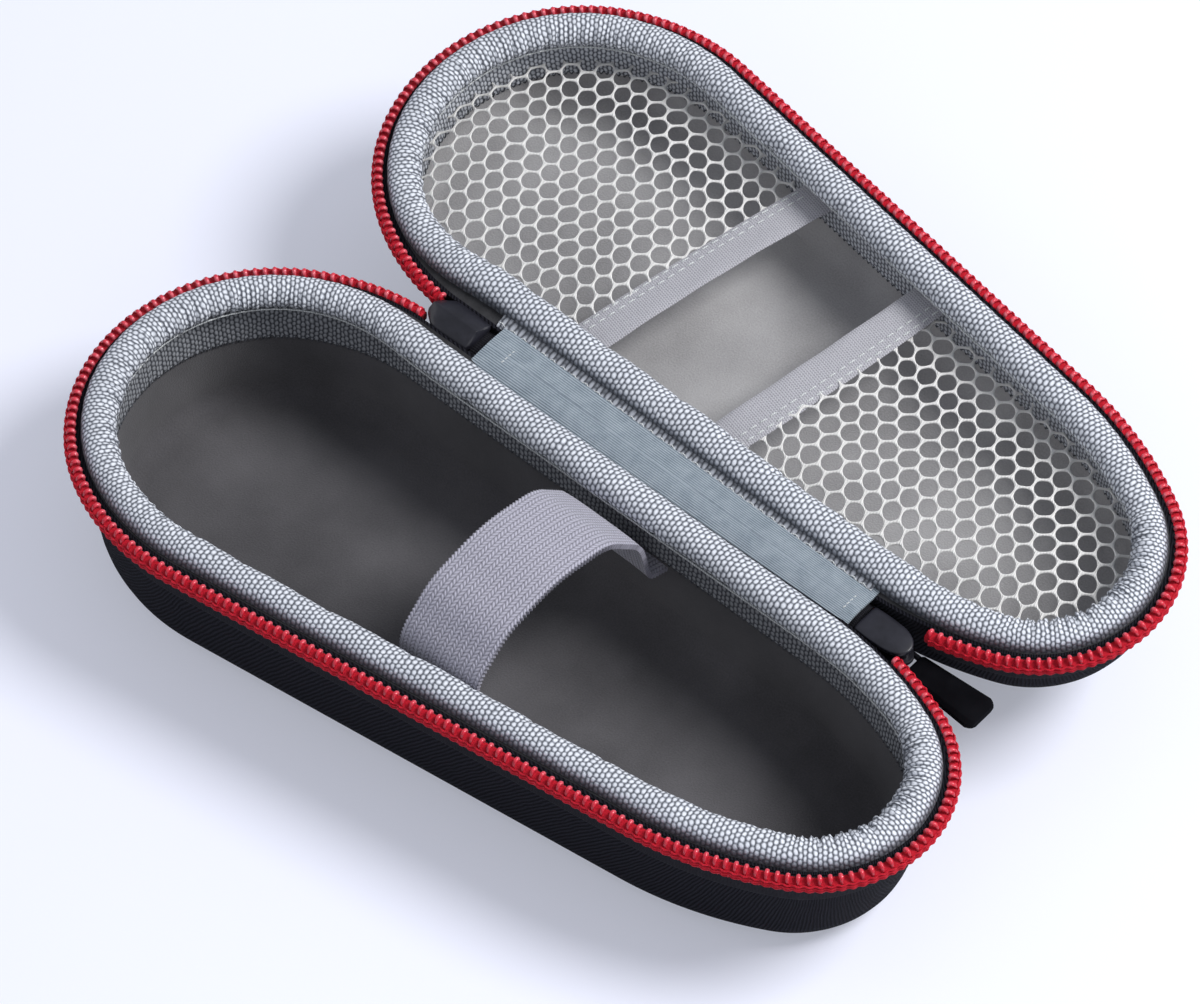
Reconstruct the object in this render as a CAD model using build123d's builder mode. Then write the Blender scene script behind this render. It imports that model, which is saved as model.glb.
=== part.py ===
from build123d import *
import math
import os

# Zipped hard case for an electric shaver, opened out.
# Millimetres. X runs along the hinge from the wide head end to the narrow foot end,
# Y from the deep base half to the shallow lid half, Z up from the table.
# The origin lies on the table, under the middle of the case.

# ---------------------------------------------------------------- driving dimensions
# Outline of both halves, measured along the middle of the zip chain
CASE_LENGTH = 211.0  # head tip to foot tip
MIDDLE_HALF_WIDTH = 38.4  # centre line to the straight side, halfway along
TAPER_ANGLE = 4.35  # degrees between the centre line and each straight side
HEAD_TIP_RADIUS = 41.5
HEAD_SHOULDER_RADIUS = 51.5
FOOT_TIP_RADIUS = 28.2
FOOT_SHOULDER_RADIUS = 93.0

# Depth of each half, from the middle of the zip chain to its outer bottom
BASE_DEPTH = 33.5
LID_DEPTH = 23.0

# Moulded wall
WALL_INSET = 1.2  # zip chain to the outer face of the cover, at the rim
DRAFT_ANGLE = 6.0  # degrees
FOOT_RAKE = 0.134  # extra lean of the foot end, mm per mm of depth
BOTTOM_RADIUS = 9.5
COVER_THICKNESS = 0.8
SHELL_THICKNESS = 3.0
LINING_THICKNESS = 0.7
WALL_TOP = 0.6  # height of the wall's edge above the rim plane

# Padded rim
ROLL_HEIGHT = 4.3  # top of the roll above the rim plane
ROLL_OUTER = 2.0  # outer foot of the roll, inwards from the zip chain
ROLL_CREST = 5.8
ROLL_INNER = 9.5
ROLL_WAIST = 1.6  # height of the innermost point
BINDING_THICKNESS = 0.8
TRIM_TOP = 1.9  # mesh trim on the inner wall, depths below the rim plane
TRIM_BOTTOM = 12.0

# Zip
CHAIN_WIDTH = 2.2
CHAIN_HEIGHT = 3.8
CORD_TOP = 0.4  # top of the chain's cord above the rim plane
TOOTH_LENGTH = 1.15
TOOTH_WIDTH = 1.7
TOOTH_PITCH = 2.1
TAPE_THICKNESS = 0.7
TAPE_DEPTH = 9.5
CHAIN_HEAD_END = -61.2  # X where the chain stops at the head slider
CHAIN_FOOT_END = 72.8

# Hinge between the two halves
HALF_GAP = 3.0  # Y from the hinge's middle to the zip line of each half
FOLD_HALF_SPAN = 3.4  # hinge's middle to each fold axis
FOLD_DROP = 1.35  # fold axes below the rim plane
LID_TILT = 7.1  # degrees that the lid stands up, as it lies open
RIBBON_START = -46.4
RIBBON_END = 59.2
RIBBON_THICKNESS = 0.6
HINGE_MARGIN = 0.35  # hinge fabric beyond each fold axis
COVER_START = -47.7  # black fabric under the ribbon
COVER_END = 59.6
TAPE_END_WIDTH = 5.2  # ends of the zip tapes, from the hinge into each slider
TAPE_END_REACH = 6.0

# Strap across the base
STRAP_WIDTH = 21.0
STRAP_CENTRE = 4.8
STRAP_THICKNESS = 1.2

# Lid pockets
NET_DEPTH = 6.0  # net below the lid's rim plane
NET_THICKNESS = 0.6
NET_PITCH = 5.2
NET_STRAND = 0.85
NET_ANGLE = -48.0  # degrees, direction of a row of gaps from X
NET_EDGE = 1.4  # solid edge kept round each net
BAND_WIDTH = 9.0
BAND_THICKNESS = 1.0
HEAD_BAND_ENDS = (-32.0, -20.5)  # X of its middle, at the hinge and at the far side
FOOT_BAND_ENDS = (7.0, 16.8)
BAND_END_REACH = (16.0, 67.0)  # distance from the zip line where those X hold
STITCH_LENGTH = 1.8
STITCH_WIDTH = 0.4
STITCH_PITCH = 3.0
STITCH_INSETS = (1.0, 2.8)  # rows of stitches from the net edge of a band

# Zip sliders
SLIDER_CENTRES = {"head": -54.2, "foot": 66.0}
SLIDER_LENGTH = 12.4
SLIDER_WIDTH = 7.2
SLIDER_NOSE_WIDTH = 5.0
PLATE_THICKNESS = 0.95
PLATE_TOP = 0.45  # top of the inner plate above the hinge's middle plane
CHAIN_CHANNEL = 2.4
FLANGE_THICKNESS = 0.7
BRIDGE_LENGTH = 8.0
BRIDGE_WIDTH = 2.4
BRIDGE_THICKNESS = 1.0
BRIDGE_OPENING = 1.6
LOOP_WIRE = 1.3
LOOP_HALF_WIDTH = 2.3
LOOP_REACH = 8.0
GRIP_START = 7.2
GRIP_LENGTH = 18.8
GRIP_ROOT_WIDTH = 6.2
GRIP_END_WIDTH = 8.4
GRIP_THICKNESS = 2.8
GRIP_CHAMFER = 1.6
GRIP_EDGE = 0.7

# ---------------------------------------------------------------- worked-out values
taper = math.radians(TAPER_ANGLE)
lid_tilt = math.radians(LID_TILT)
hinge_tilt = lid_tilt / 2
wall_slope = math.tan(math.radians(DRAFT_ANGLE))
rim_height = BASE_DEPTH
fold_height = rim_height - FOLD_DROP
lining_face = WALL_INSET + COVER_THICKNESS + SHELL_THICKNESS + LINING_THICKNESS
total_wall = lining_face - WALL_INSET


def export(piece, name):
    """Label a finished piece and write it."""
    piece.part.label = name
    export_step(piece.part, "parts/" + name + ".step")


# ---------------------------------------------------------------- the two halves' planes
lid_inward = Vector(0, math.cos(lid_tilt), math.sin(lid_tilt))
lid_up = Vector(0, -math.sin(lid_tilt), math.cos(lid_tilt))
hinge_across = Vector(0, math.cos(hinge_tilt), math.sin(hinge_tilt))
hinge_up = Vector(0, -math.sin(hinge_tilt), math.cos(hinge_tilt))

base_fold = Vector(0, -FOLD_HALF_SPAN, fold_height)
hinge_centre = base_fold + hinge_across * FOLD_HALF_SPAN
lid_fold = base_fold + hinge_across * (2 * FOLD_HALF_SPAN)
lid_zip_line = lid_fold + lid_up * FOLD_DROP - lid_inward * (FOLD_HALF_SPAN - HALF_GAP)
print("base fold axis", tuple(base_fold), "lid fold axis", tuple(lid_fold))


def base_plane(height):
    """Plane parallel to the base's rim, x along its centre line towards the foot."""
    return Plane(
        origin=(0, -HALF_GAP - MIDDLE_HALF_WIDTH, rim_height + height),
        x_dir=(math.cos(taper), math.sin(taper), 0),
        z_dir=(0, 0, 1),
    )


def lid_plane(height):
    """Plane parallel to the lid's rim, x along its centre line towards the foot."""
    along = Vector(1, 0, 0) * math.cos(taper) - lid_inward * math.sin(taper)
    centre = lid_zip_line + lid_inward * MIDDLE_HALF_WIDTH + lid_up * height
    return Plane(origin=centre, x_dir=along, z_dir=lid_up)


def lid_square_plane(height):
    """Plane parallel to the lid's rim, x along the hinge, y away from it."""
    return Plane(origin=lid_zip_line + lid_up * height, x_dir=(1, 0, 0), z_dir=lid_up)


def hinge_plane(height, centre_x=0.0):
    """Plane parallel to the hinge ribbon, x along the hinge, y towards the lid."""
    origin = hinge_centre + hinge_up * height + Vector(centre_x, 0, 0)
    return Plane(origin=origin, x_dir=(1, 0, 0), z_dir=hinge_up)


# ---------------------------------------------------------------- the tapered outline
def rounded_end(inset, tip, tip_radius, shoulder_radius, direction):
    """Points of one end: side tangent, shoulder middle, shoulder to tip, tip.

    The shoulder arc is tangent to the straight side and to the tip arc, whose
    centre lies on the centre line. direction is 1 at the foot and -1 at the head.
    """
    shoulder = shoulder_radius - inset
    point = tip_radius - inset
    side = MIDDLE_HALF_WIDTH - inset
    normal = (math.sin(taper), math.cos(taper))
    tip_x = tip - direction * inset
    point_centre = tip_x - direction * point
    across = side - shoulder - normal[0] * point_centre
    along = math.sqrt((shoulder - point) ** 2 - across**2)
    centre_x = point_centre + across * normal[0] - direction * along * normal[1]
    centre_y = across * normal[1] + direction * along * normal[0]
    tangent = (centre_x + shoulder * normal[0], centre_y + shoulder * normal[1])
    reach = math.hypot(point_centre - centre_x, centre_y)
    joint = (
        centre_x + shoulder * (point_centre - centre_x) / reach,
        centre_y - shoulder * centre_y / reach,
    )
    start_angle = math.atan2(normal[1], normal[0])
    end_angle = math.atan2(-centre_y, point_centre - centre_x) % (2 * math.pi)
    if direction > 0 and end_angle > math.pi:
        end_angle -= 2 * math.pi
    middle_angle = (start_angle + end_angle) / 2
    middle = (
        centre_x + shoulder * math.cos(middle_angle),
        centre_y + shoulder * math.sin(middle_angle),
    )
    return tangent, middle, joint, (tip_x, 0)


def case_outline(inset, depth=0.0, plane=Plane.XY):
    """Closed outline of a half on a plane, drawn inwards of the zip chain, at a depth."""
    foot_tip = CASE_LENGTH / 2 - FOOT_RAKE * max(depth, 0)
    foot = rounded_end(inset, foot_tip, FOOT_TIP_RADIUS, FOOT_SHOULDER_RADIUS, 1)
    head = rounded_end(inset, -CASE_LENGTH / 2, HEAD_TIP_RADIUS, HEAD_SHOULDER_RADIUS, -1)
    foot_low = [(x, -y) for x, y in foot]
    head_low = [(x, -y) for x, y in head]
    with BuildLine(plane) as outline:
        Line(head[0], foot[0])
        ThreePointArc(foot[0], foot[1], foot[2])
        ThreePointArc(foot[2], foot[3], foot_low[2])
        ThreePointArc(foot_low[2], foot_low[1], foot_low[0])
        Line(foot_low[0], head_low[0])
        ThreePointArc(head_low[0], head_low[1], head_low[2])
        ThreePointArc(head_low[2], head[3], head[2])
        ThreePointArc(head[2], head[1], head[0])
    return outline.line


# ---------------------------------------------------------------- moulded layers
def bowl(plane_at, depth, layer):
    """Solid inside the wall face that lies layer mm in from the cover's outer face."""
    floor_depth = depth - layer
    top_inset = WALL_INSET + layer - WALL_TOP * wall_slope
    floor_inset = WALL_INSET + layer + floor_depth * wall_slope
    with BuildPart() as solid:
        with BuildSketch(plane_at(WALL_TOP)):
            with BuildLine():
                add(case_outline(top_inset))
            make_face()
        with BuildSketch(plane_at(-floor_depth)):
            with BuildLine():
                add(case_outline(floor_inset, floor_depth))
            make_face()
        loft(ruled=True)
        floor = solid.faces().sort_by(plane_at(0).location.z_axis)[0]
        fillet(floor.edges(), BOTTOM_RADIUS - layer)
    return solid


def moulded_layer(plane_at, depth, outer, thickness):
    """One layer of the wall: the bowl at its outer face less the bowl at its inner."""
    outside = bowl(plane_at, depth, outer)
    inside = bowl(plane_at, depth, outer + thickness)
    with BuildPart() as layer:
        add(outside.part)
        add(inside.part, mode=Mode.SUBTRACT)
    return layer


def wall_band(plane_at, depth, layer, thickness, top, bottom):
    """Band that follows the wall, from one depth to another below the rim plane."""
    whole = moulded_layer(plane_at, depth, layer, thickness)
    with BuildPart() as band:
        add(whole.part)
        with BuildSketch(plane_at(-top)):
            Rectangle(2 * CASE_LENGTH, 2 * CASE_LENGTH)
        extrude(amount=top - bottom, mode=Mode.INTERSECT)
    return band


# ---------------------------------------------------------------- padded rim
def rim_ring(plane_at):
    """Outline of the zip chain in space, the path of the rim's swept pieces."""
    return case_outline(0, 0, plane_at(0)).wires()[0]


def roll_profile_plane(plane_at):
    """Plane square to the outline at its start: x inwards, y up, from the zip chain."""
    up = plane_at(0).z_dir
    first_side = rim_ring(plane_at).edges()[0]
    inwards = (first_side % 0).cross(up)
    return Plane(origin=first_side @ 0, x_dir=inwards, z_dir=inwards.cross(up))


def roll_points(inset):
    """Outer foot, crest and innermost point of the roll, inset mm inside its skin."""
    foot = (ROLL_OUTER + inset, WALL_TOP)
    crest = (ROLL_CREST, ROLL_HEIGHT - inset)
    waist = (ROLL_INNER - inset, ROLL_WAIST)
    return foot, crest, waist


def rim_foam(plane_at):
    """Foam roll that stands on the wall's edge, inside the binding."""
    foot, crest, waist = roll_points(BINDING_THICKNESS)
    with BuildPart() as foam:
        with BuildSketch(roll_profile_plane(plane_at)):
            with BuildLine():
                Line((lining_face - 0.1, WALL_TOP), foot)
                ThreePointArc(foot, (3.9, 2.75), crest)
                ThreePointArc(crest, (7.75, 2.9), waist)
                ThreePointArc(waist, (8.1, -0.1), (6.9, -1.1))
                Line((6.9, -1.1), (6.4, -0.9))
                Line((6.4, -0.9), (6.4, 0.2))
                Line((6.4, 0.2), (lining_face - 0.1, WALL_TOP))
            make_face()
        sweep(path=rim_ring(plane_at))
    return foam


def rim_binding(plane_at):
    """Mesh binding: a thin skin over the roll, from the wall's edge round to its inside."""
    foot, crest, waist = roll_points(0)
    inner_foot, inner_crest, inner_waist = roll_points(BINDING_THICKNESS)
    with BuildPart() as binding:
        with BuildSketch(roll_profile_plane(plane_at)):
            with BuildLine():
                ThreePointArc(foot, (3.35, 3.35), crest)
                ThreePointArc(crest, (8.35, 3.45), waist)
                ThreePointArc(waist, (8.65, -0.65), (7.1, -1.85))
                Line((7.1, -1.85), (6.9, -1.15))
                ThreePointArc((6.9, -1.15), (8.1, -0.1), inner_waist)
                ThreePointArc(inner_waist, (7.75, 2.9), inner_crest)
                ThreePointArc(inner_crest, (3.9, 2.75), inner_foot)
                Line(inner_foot, foot)
            make_face()
        sweep(path=rim_ring(plane_at))
    return binding


# ---------------------------------------------------------------- zip
def hinge_stretch(plane_at, zip_side):
    """Block over the hinge stretch of the outline, where the zip has no chain."""
    rim = plane_at(0)
    middle = (CHAIN_HEAD_END + CHAIN_FOOT_END) / 2
    centre = rim.origin + Vector(middle, zip_side * MIDDLE_HALF_WIDTH, 0)
    height = 2 * BASE_DEPTH
    with BuildPart() as block:
        with BuildSketch(Plane(origin=(centre.X, centre.Y, centre.Z - height / 2))):
            Rectangle(CHAIN_FOOT_END - CHAIN_HEAD_END, MIDDLE_HALF_WIDTH)
        extrude(amount=height)
    return block


def zip_tape(plane_at, depth, zip_side):
    """Woven tape on the outside of the cover, from under the chain downwards."""
    top = CHAIN_HEIGHT / 2
    band = wall_band(plane_at, depth, -TAPE_THICKNESS, TAPE_THICKNESS, top, TAPE_DEPTH)
    with BuildPart() as tape:
        add(band.part)
        add(hinge_stretch(plane_at, zip_side).part, mode=Mode.SUBTRACT)
    return tape


def tooth_places(zip_side):
    """Places of the teeth on the outline, turned square to it, clear of the hinge."""
    path = case_outline(0).wires()[0]
    count = round(path.length / TOOTH_PITCH)
    places = []
    for index in range(count):
        point = path @ (index / count)
        tangent = path % (index / count)
        along_hinge = point.X * math.cos(taper) - zip_side * point.Y * math.sin(taper)
        from_head = along_hinge - CHAIN_HEAD_END + TOOTH_LENGTH
        from_foot = CHAIN_FOOT_END + TOOTH_LENGTH - along_hinge
        if zip_side * point.Y > 0 and from_head > 0 and from_foot > 0:
            continue
        angle = math.degrees(math.atan2(tangent.Y, tangent.X))
        places.append(Location((point.X, point.Y), angle))
    return places


def zip_teeth(plane_at, zip_side):
    """Zip chain: a cord round the case with a tooth standing on it at every pitch."""
    bottom = -CHAIN_HEIGHT / 2
    with BuildPart() as chain:
        with BuildSketch(plane_at(bottom)):
            with BuildLine():
                add(case_outline(-CHAIN_WIDTH / 2))
            make_face()
            with BuildLine():
                add(case_outline(CHAIN_WIDTH / 2))
            make_face(mode=Mode.SUBTRACT)
        extrude(amount=CORD_TOP - bottom)
        add(hinge_stretch(plane_at, zip_side).part, mode=Mode.SUBTRACT)
        with BuildSketch(plane_at(CORD_TOP)):
            with Locations(tooth_places(zip_side)):
                Rectangle(TOOTH_LENGTH, TOOTH_WIDTH)
        extrude(amount=-bottom - CORD_TOP)
    return chain


# ---------------------------------------------------------------- build both halves
os.makedirs("parts", exist_ok=True)
halves = {"base": (base_plane, BASE_DEPTH, 1), "lid": (lid_plane, LID_DEPTH, -1)}
shell_start = COVER_THICKNESS
lining_start = COVER_THICKNESS + SHELL_THICKNESS
for half, (plane_at, depth, zip_side) in halves.items():
    export(moulded_layer(plane_at, depth, 0.0, COVER_THICKNESS), half + "_cover")
    export(moulded_layer(plane_at, depth, shell_start, SHELL_THICKNESS), half + "_shell")
    export(moulded_layer(plane_at, depth, lining_start, LINING_THICKNESS), half + "_lining")
    export(rim_foam(plane_at), half + "_rim_foam")
    export(rim_binding(plane_at), half + "_binding")
    export(
        wall_band(plane_at, depth, total_wall, BINDING_THICKNESS, TRIM_TOP, TRIM_BOTTOM),
        half + "_wall_trim",
    )
    export(zip_tape(plane_at, depth, zip_side), half + "_zip_tape")
    export(zip_teeth(plane_at, zip_side), half + "_zip_teeth")

# ---------------------------------------------------------------- strap across the base
front_line = -HALF_GAP - MIDDLE_HALF_WIDTH * (1 + 1 / math.cos(2 * taper))
front_line += STRAP_CENTRE * math.tan(2 * taper)
base_inside = bowl(base_plane, BASE_DEPTH, total_wall)
with BuildPart() as base_space:
    add(base_inside.part)
    with BuildSketch(base_plane(WALL_TOP)):
        with BuildLine():
            add(case_outline(lining_face - WALL_TOP * wall_slope))
        make_face()
    extrude(amount=BASE_DEPTH)
with BuildPart() as strap:
    with BuildLine(Plane.YZ.offset(STRAP_CENTRE)) as strap_line:
        FilletPolyline(
            (front_line + 4.5, rim_height - 14.5),
            (front_line + 11.0, rim_height - 12.2),
            (front_line + 12.2, rim_height + 1.5),
            (front_line + 21.0, rim_height + 9.8),
            (-43.5, rim_height + 13.4),
            (-28.0, rim_height + 10.6),
            (-18.2, rim_height + 1.0),
            (-15.2, rim_height - 12.2),
            (-8.5, rim_height - 14.5),
            radius=[3.5, 9.0, 14.0, 30.0, 12.0, 11.0, 3.5],
        )
    start = strap_line.wires()[0] @ 0
    heading = strap_line.wires()[0] % 0
    with BuildSketch(Plane(origin=start, x_dir=(1, 0, 0), z_dir=heading)):
        Rectangle(STRAP_WIDTH, STRAP_THICKNESS)
    sweep(path=strap_line.wires()[0])
    add(base_space.part, mode=Mode.INTERSECT)
export(strap, "strap")


# ---------------------------------------------------------------- lid pockets
def band_line(ends, share):
    """Point on the middle of a band, share 0 at the hinge and 1 at the far side."""
    near, far = BAND_END_REACH
    return Vector(
        ends[0] + (ends[1] - ends[0]) * share,
        near + (far - near) * share,
    )


def band_direction(ends):
    """Unit vector along a band, from the hinge side to the far side."""
    return (band_line(ends, 1) - band_line(ends, 0)).normalized()


net_inset = lining_face + BINDING_THICKNESS + NET_DEPTH * wall_slope
lid_inside = bowl(lid_plane, LID_DEPTH, total_wall + BINDING_THICKNESS)


def pocket_slab(bottom, thickness, place, size):
    """Slab of the lid's inside, from wall to wall, kept within a turned rectangle."""
    with BuildPart() as slab:
        add(lid_inside.part)
        with BuildSketch(lid_square_plane(bottom)):
            with Locations(place):
                Rectangle(size, CASE_LENGTH)
        extrude(amount=thickness, mode=Mode.INTERSECT)
    return slab


def net_cells(ends, side):
    """Middles of the net's gaps that lie whole between the band and the net's edge."""
    along = band_direction(ends)
    across = Vector(along.Y, -along.X)
    middle = band_line(ends, 0.5)
    square = lid_square_plane(0)
    with BuildSketch(lid_plane(0)) as inner_edge:
        with BuildLine():
            add(case_outline(net_inset + NET_EDGE, NET_DEPTH))
        make_face()
    inside = inner_edge.sketch.faces()[0]
    row_angle = math.radians(NET_ANGLE)
    row = Vector(math.cos(row_angle), math.sin(row_angle)) * NET_PITCH
    next_row = row.rotate(Axis.Z, 60)
    corner_reach = (NET_PITCH - NET_STRAND) / math.sqrt(3)
    count = round(CASE_LENGTH / NET_PITCH)
    cells = []
    for i in range(-count, count):
        for j in range(-count, count):
            cell = middle + row * i + next_row * j
            past_band = (cell - middle).dot(across) * side - BAND_WIDTH / 2
            if past_band < corner_reach or past_band > CASE_LENGTH / 2:
                continue
            if not 0 < cell.Y < 2 * MIDDLE_HALF_WIDTH:
                continue
            spoke = Vector(corner_reach, 0).rotate(Axis.Z, NET_ANGLE + 30)
            corners = [cell + spoke.rotate(Axis.Z, 60 * corner) for corner in range(6)]
            if all(inside.is_inside(square.from_local_coords(point)) for point in corners):
                cells.append(cell)
    return cells


def pocket_net(ends, side):
    """Net of one pocket, with its gaps. side is -1 at the head and 1 at the foot."""
    along = band_direction(ends)
    across = Vector(along.Y, -along.X)
    tilt = math.degrees(math.atan2(along.X, along.Y))
    half_length = CASE_LENGTH / 2
    middle = band_line(ends, 0.5) + across * side * (half_length - BAND_WIDTH) / 2
    place = Location((middle.X, middle.Y), -tilt)
    size = half_length
    cells = net_cells(ends, side)
    print("net gaps", len(cells))
    slab = pocket_slab(-NET_DEPTH - NET_THICKNESS, NET_THICKNESS, place, size)
    gap_radius = (NET_PITCH - NET_STRAND) / math.sqrt(3)
    with BuildPart() as net:
        add(slab.part)
        with BuildSketch(lid_square_plane(-NET_DEPTH)):
            with Locations([Location((cell.X, cell.Y), NET_ANGLE) for cell in cells]):
                RegularPolygon(gap_radius, 6, rotation=30)
        extrude(amount=-NET_THICKNESS, mode=Mode.SUBTRACT)
    return net


def pocket_band(ends):
    """Elastic band that edges a pocket's mouth, from wall to wall on top of its net."""
    along = band_direction(ends)
    tilt = math.degrees(math.atan2(along.X, along.Y))
    middle = band_line(ends, 0.5)
    place = Location((middle.X, middle.Y), -tilt)
    return pocket_slab(-NET_DEPTH, BAND_THICKNESS, place, BAND_WIDTH)


def band_stitches(ends, side):
    """Two rows of stitches on the net edge of a band."""
    along = band_direction(ends)
    across = Vector(along.Y, -along.X)
    tilt = math.degrees(math.atan2(along.X, along.Y))
    near, far = BAND_END_REACH
    count = int((far - near) / STITCH_PITCH)
    top = BAND_THICKNESS - NET_DEPTH
    with BuildPart() as stitches:
        with BuildSketch(lid_square_plane(top)):
            for inset in STITCH_INSETS:
                row = band_line(ends, 0.5) + across * side * (BAND_WIDTH / 2 - inset)
                for index in range(count):
                    place = row + along * (index - (count - 1) / 2) * STITCH_PITCH
                    with Locations(Location((place.X, place.Y), -tilt)):
                        Rectangle(STITCH_WIDTH, STITCH_LENGTH)
        extrude(amount=STITCH_WIDTH / 2)
    return stitches


for pocket, ends, side in (("head", HEAD_BAND_ENDS, -1), ("foot", FOOT_BAND_ENDS, 1)):
    export(pocket_net(ends, side), pocket + "_pocket_net")
    export(pocket_band(ends), pocket + "_pocket_band")
    export(band_stitches(ends, side), pocket + "_band_stitches")

# ---------------------------------------------------------------- fabric hinge
hinge_width = 2 * (FOLD_HALF_SPAN + HINGE_MARGIN)
ribbon_middle = (RIBBON_START + RIBBON_END) / 2
ribbon_length = RIBBON_END - RIBBON_START
with BuildPart() as hinge_ribbon:
    with BuildSketch(hinge_plane(0, ribbon_middle)):
        Rectangle(ribbon_length, hinge_width)
    extrude(amount=RIBBON_THICKNESS)
export(hinge_ribbon, "hinge_ribbon")

with BuildPart() as hinge_cover:
    with BuildSketch(hinge_plane(0, (COVER_START + COVER_END) / 2)):
        Rectangle(COVER_END - COVER_START, hinge_width)
    extrude(amount=-RIBBON_THICKNESS)
export(hinge_cover, "hinge_cover")

tape_ends = {"head": (COVER_START, -1), "foot": (COVER_END, 1)}
for end, (start_x, direction) in tape_ends.items():
    with BuildPart() as tape_end:
        with BuildSketch(hinge_plane(-RIBBON_THICKNESS, start_x)):
            with Locations((direction * TAPE_END_REACH / 4, 0)):
                Rectangle(1.5 * TAPE_END_REACH, TAPE_END_WIDTH)
        extrude(amount=-TAPE_THICKNESS)
    export(tape_end, end + "_tape_end")

ribbon_stitch_inset = 2.6
stitch_count = int(hinge_width / (STITCH_PITCH / 1.5))
with BuildPart() as ribbon_stitches:
    with BuildSketch(hinge_plane(RIBBON_THICKNESS, ribbon_middle)):
        for end in (-1, 1):
            for index in range(stitch_count):
                along_x = end * (ribbon_length / 2 - ribbon_stitch_inset)
                across_y = (index - (stitch_count - 1) / 2) * STITCH_PITCH / 1.5
                with Locations((along_x, across_y)):
                    Rectangle(STITCH_WIDTH, STITCH_LENGTH * 0.7)
    extrude(amount=STITCH_WIDTH / 2)
export(ribbon_stitches, "ribbon_stitches")


# ---------------------------------------------------------------- zip sliders and pulls
lower_plate_top = PLATE_TOP - PLATE_THICKNESS - CHAIN_CHANNEL
lower_plate_bottom = lower_plate_top - PLATE_THICKNESS
pivot_height = lower_plate_bottom - BRIDGE_OPENING / 2 - 0.05


def slider_outline(direction):
    """Plate outline: square at the ribbon's end, narrowing to a rounded nose."""
    half = SLIDER_LENGTH / 2
    wide = SLIDER_WIDTH / 2
    nose = SLIDER_NOSE_WIDTH / 2
    with BuildLine() as outline:
        Line((-half * direction, -wide), (half * 0.15 * direction, -wide))
        Line((half * 0.15 * direction, -wide), (half * 0.75 * direction, -nose))
        ThreePointArc(
            (half * 0.75 * direction, -nose),
            (half * direction, 0),
            (half * 0.75 * direction, nose),
        )
        Line((half * 0.75 * direction, nose), (half * 0.15 * direction, wide))
        Line((half * 0.15 * direction, wide), (-half * direction, wide))
        Line((-half * direction, wide), (-half * direction, -wide))
    return outline.line


def slider_body(centre_x, direction):
    """Slider casting: two plates, side flanges, the wedge between them and the bridge."""
    with BuildPart() as slider:
        for top in (PLATE_TOP, lower_plate_top):
            with BuildSketch(hinge_plane(top, centre_x)):
                with BuildLine():
                    add(slider_outline(direction))
                make_face()
            extrude(amount=-PLATE_THICKNESS)
        with BuildSketch(hinge_plane(lower_plate_top, centre_x)):
            with Locations((SLIDER_LENGTH * 0.3 * direction, 0)):
                Ellipse(SLIDER_LENGTH * 0.16, SLIDER_NOSE_WIDTH * 0.28)
        extrude(amount=CHAIN_CHANNEL)
        flange_y = (SLIDER_WIDTH - FLANGE_THICKNESS) / 2
        flange_length = SLIDER_LENGTH * 0.5
        with BuildSketch(hinge_plane(lower_plate_top, centre_x)):
            with Locations(
                (-SLIDER_LENGTH * 0.24 * direction, flange_y),
                (-SLIDER_LENGTH * 0.24 * direction, -flange_y),
            ):
                Rectangle(flange_length, FLANGE_THICKNESS)
        extrude(amount=CHAIN_CHANNEL)
        bridge_height = BRIDGE_OPENING + BRIDGE_THICKNESS
        with BuildSketch(hinge_plane(lower_plate_bottom, centre_x)):
            Rectangle(BRIDGE_LENGTH, BRIDGE_WIDTH)
        extrude(amount=-bridge_height)
        lower = slider.faces().sort_by(hinge_plane(0).location.z_axis)[0]
        long_edges = lower.edges().filter_by(Axis.X)
        fillet(long_edges, 0.4)
        with BuildSketch(hinge_plane(lower_plate_bottom, centre_x)):
            Rectangle(BRIDGE_LENGTH - 2 * BRIDGE_THICKNESS, BRIDGE_WIDTH)
        extrude(amount=-BRIDGE_OPENING, mode=Mode.SUBTRACT)
    return slider


def pull_plane(centre_x, along, height=0.0):
    """Plane of a pull: x from the pivot along the pull, y across the hinge."""
    pivot = hinge_centre + hinge_up * pivot_height + Vector(centre_x, 0, 0)
    face = along.cross(hinge_across)
    return Plane(origin=pivot + face * height, x_dir=along, z_dir=face)


def pull_loop(centre_x, along):
    """Wire loop of a pull: a pivot bar through the bridge and two legs to the grip."""
    bar_plane = Plane(
        origin=hinge_centre
        + hinge_up * pivot_height
        + Vector(centre_x, 0, 0)
        - hinge_across * (LOOP_HALF_WIDTH + LOOP_WIRE / 2),
        x_dir=along,
        z_dir=hinge_across,
    )
    with BuildPart() as loop:
        with BuildSketch(bar_plane):
            Circle(LOOP_WIRE / 2)
        extrude(amount=2 * LOOP_HALF_WIDTH + LOOP_WIRE)
        with BuildSketch(pull_plane(centre_x, along, -LOOP_WIRE / 2)):
            with Locations(
                (LOOP_REACH / 2, LOOP_HALF_WIDTH), (LOOP_REACH / 2, -LOOP_HALF_WIDTH)
            ):
                Rectangle(LOOP_REACH, LOOP_WIRE)
        extrude(amount=LOOP_WIRE)
    return loop


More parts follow.
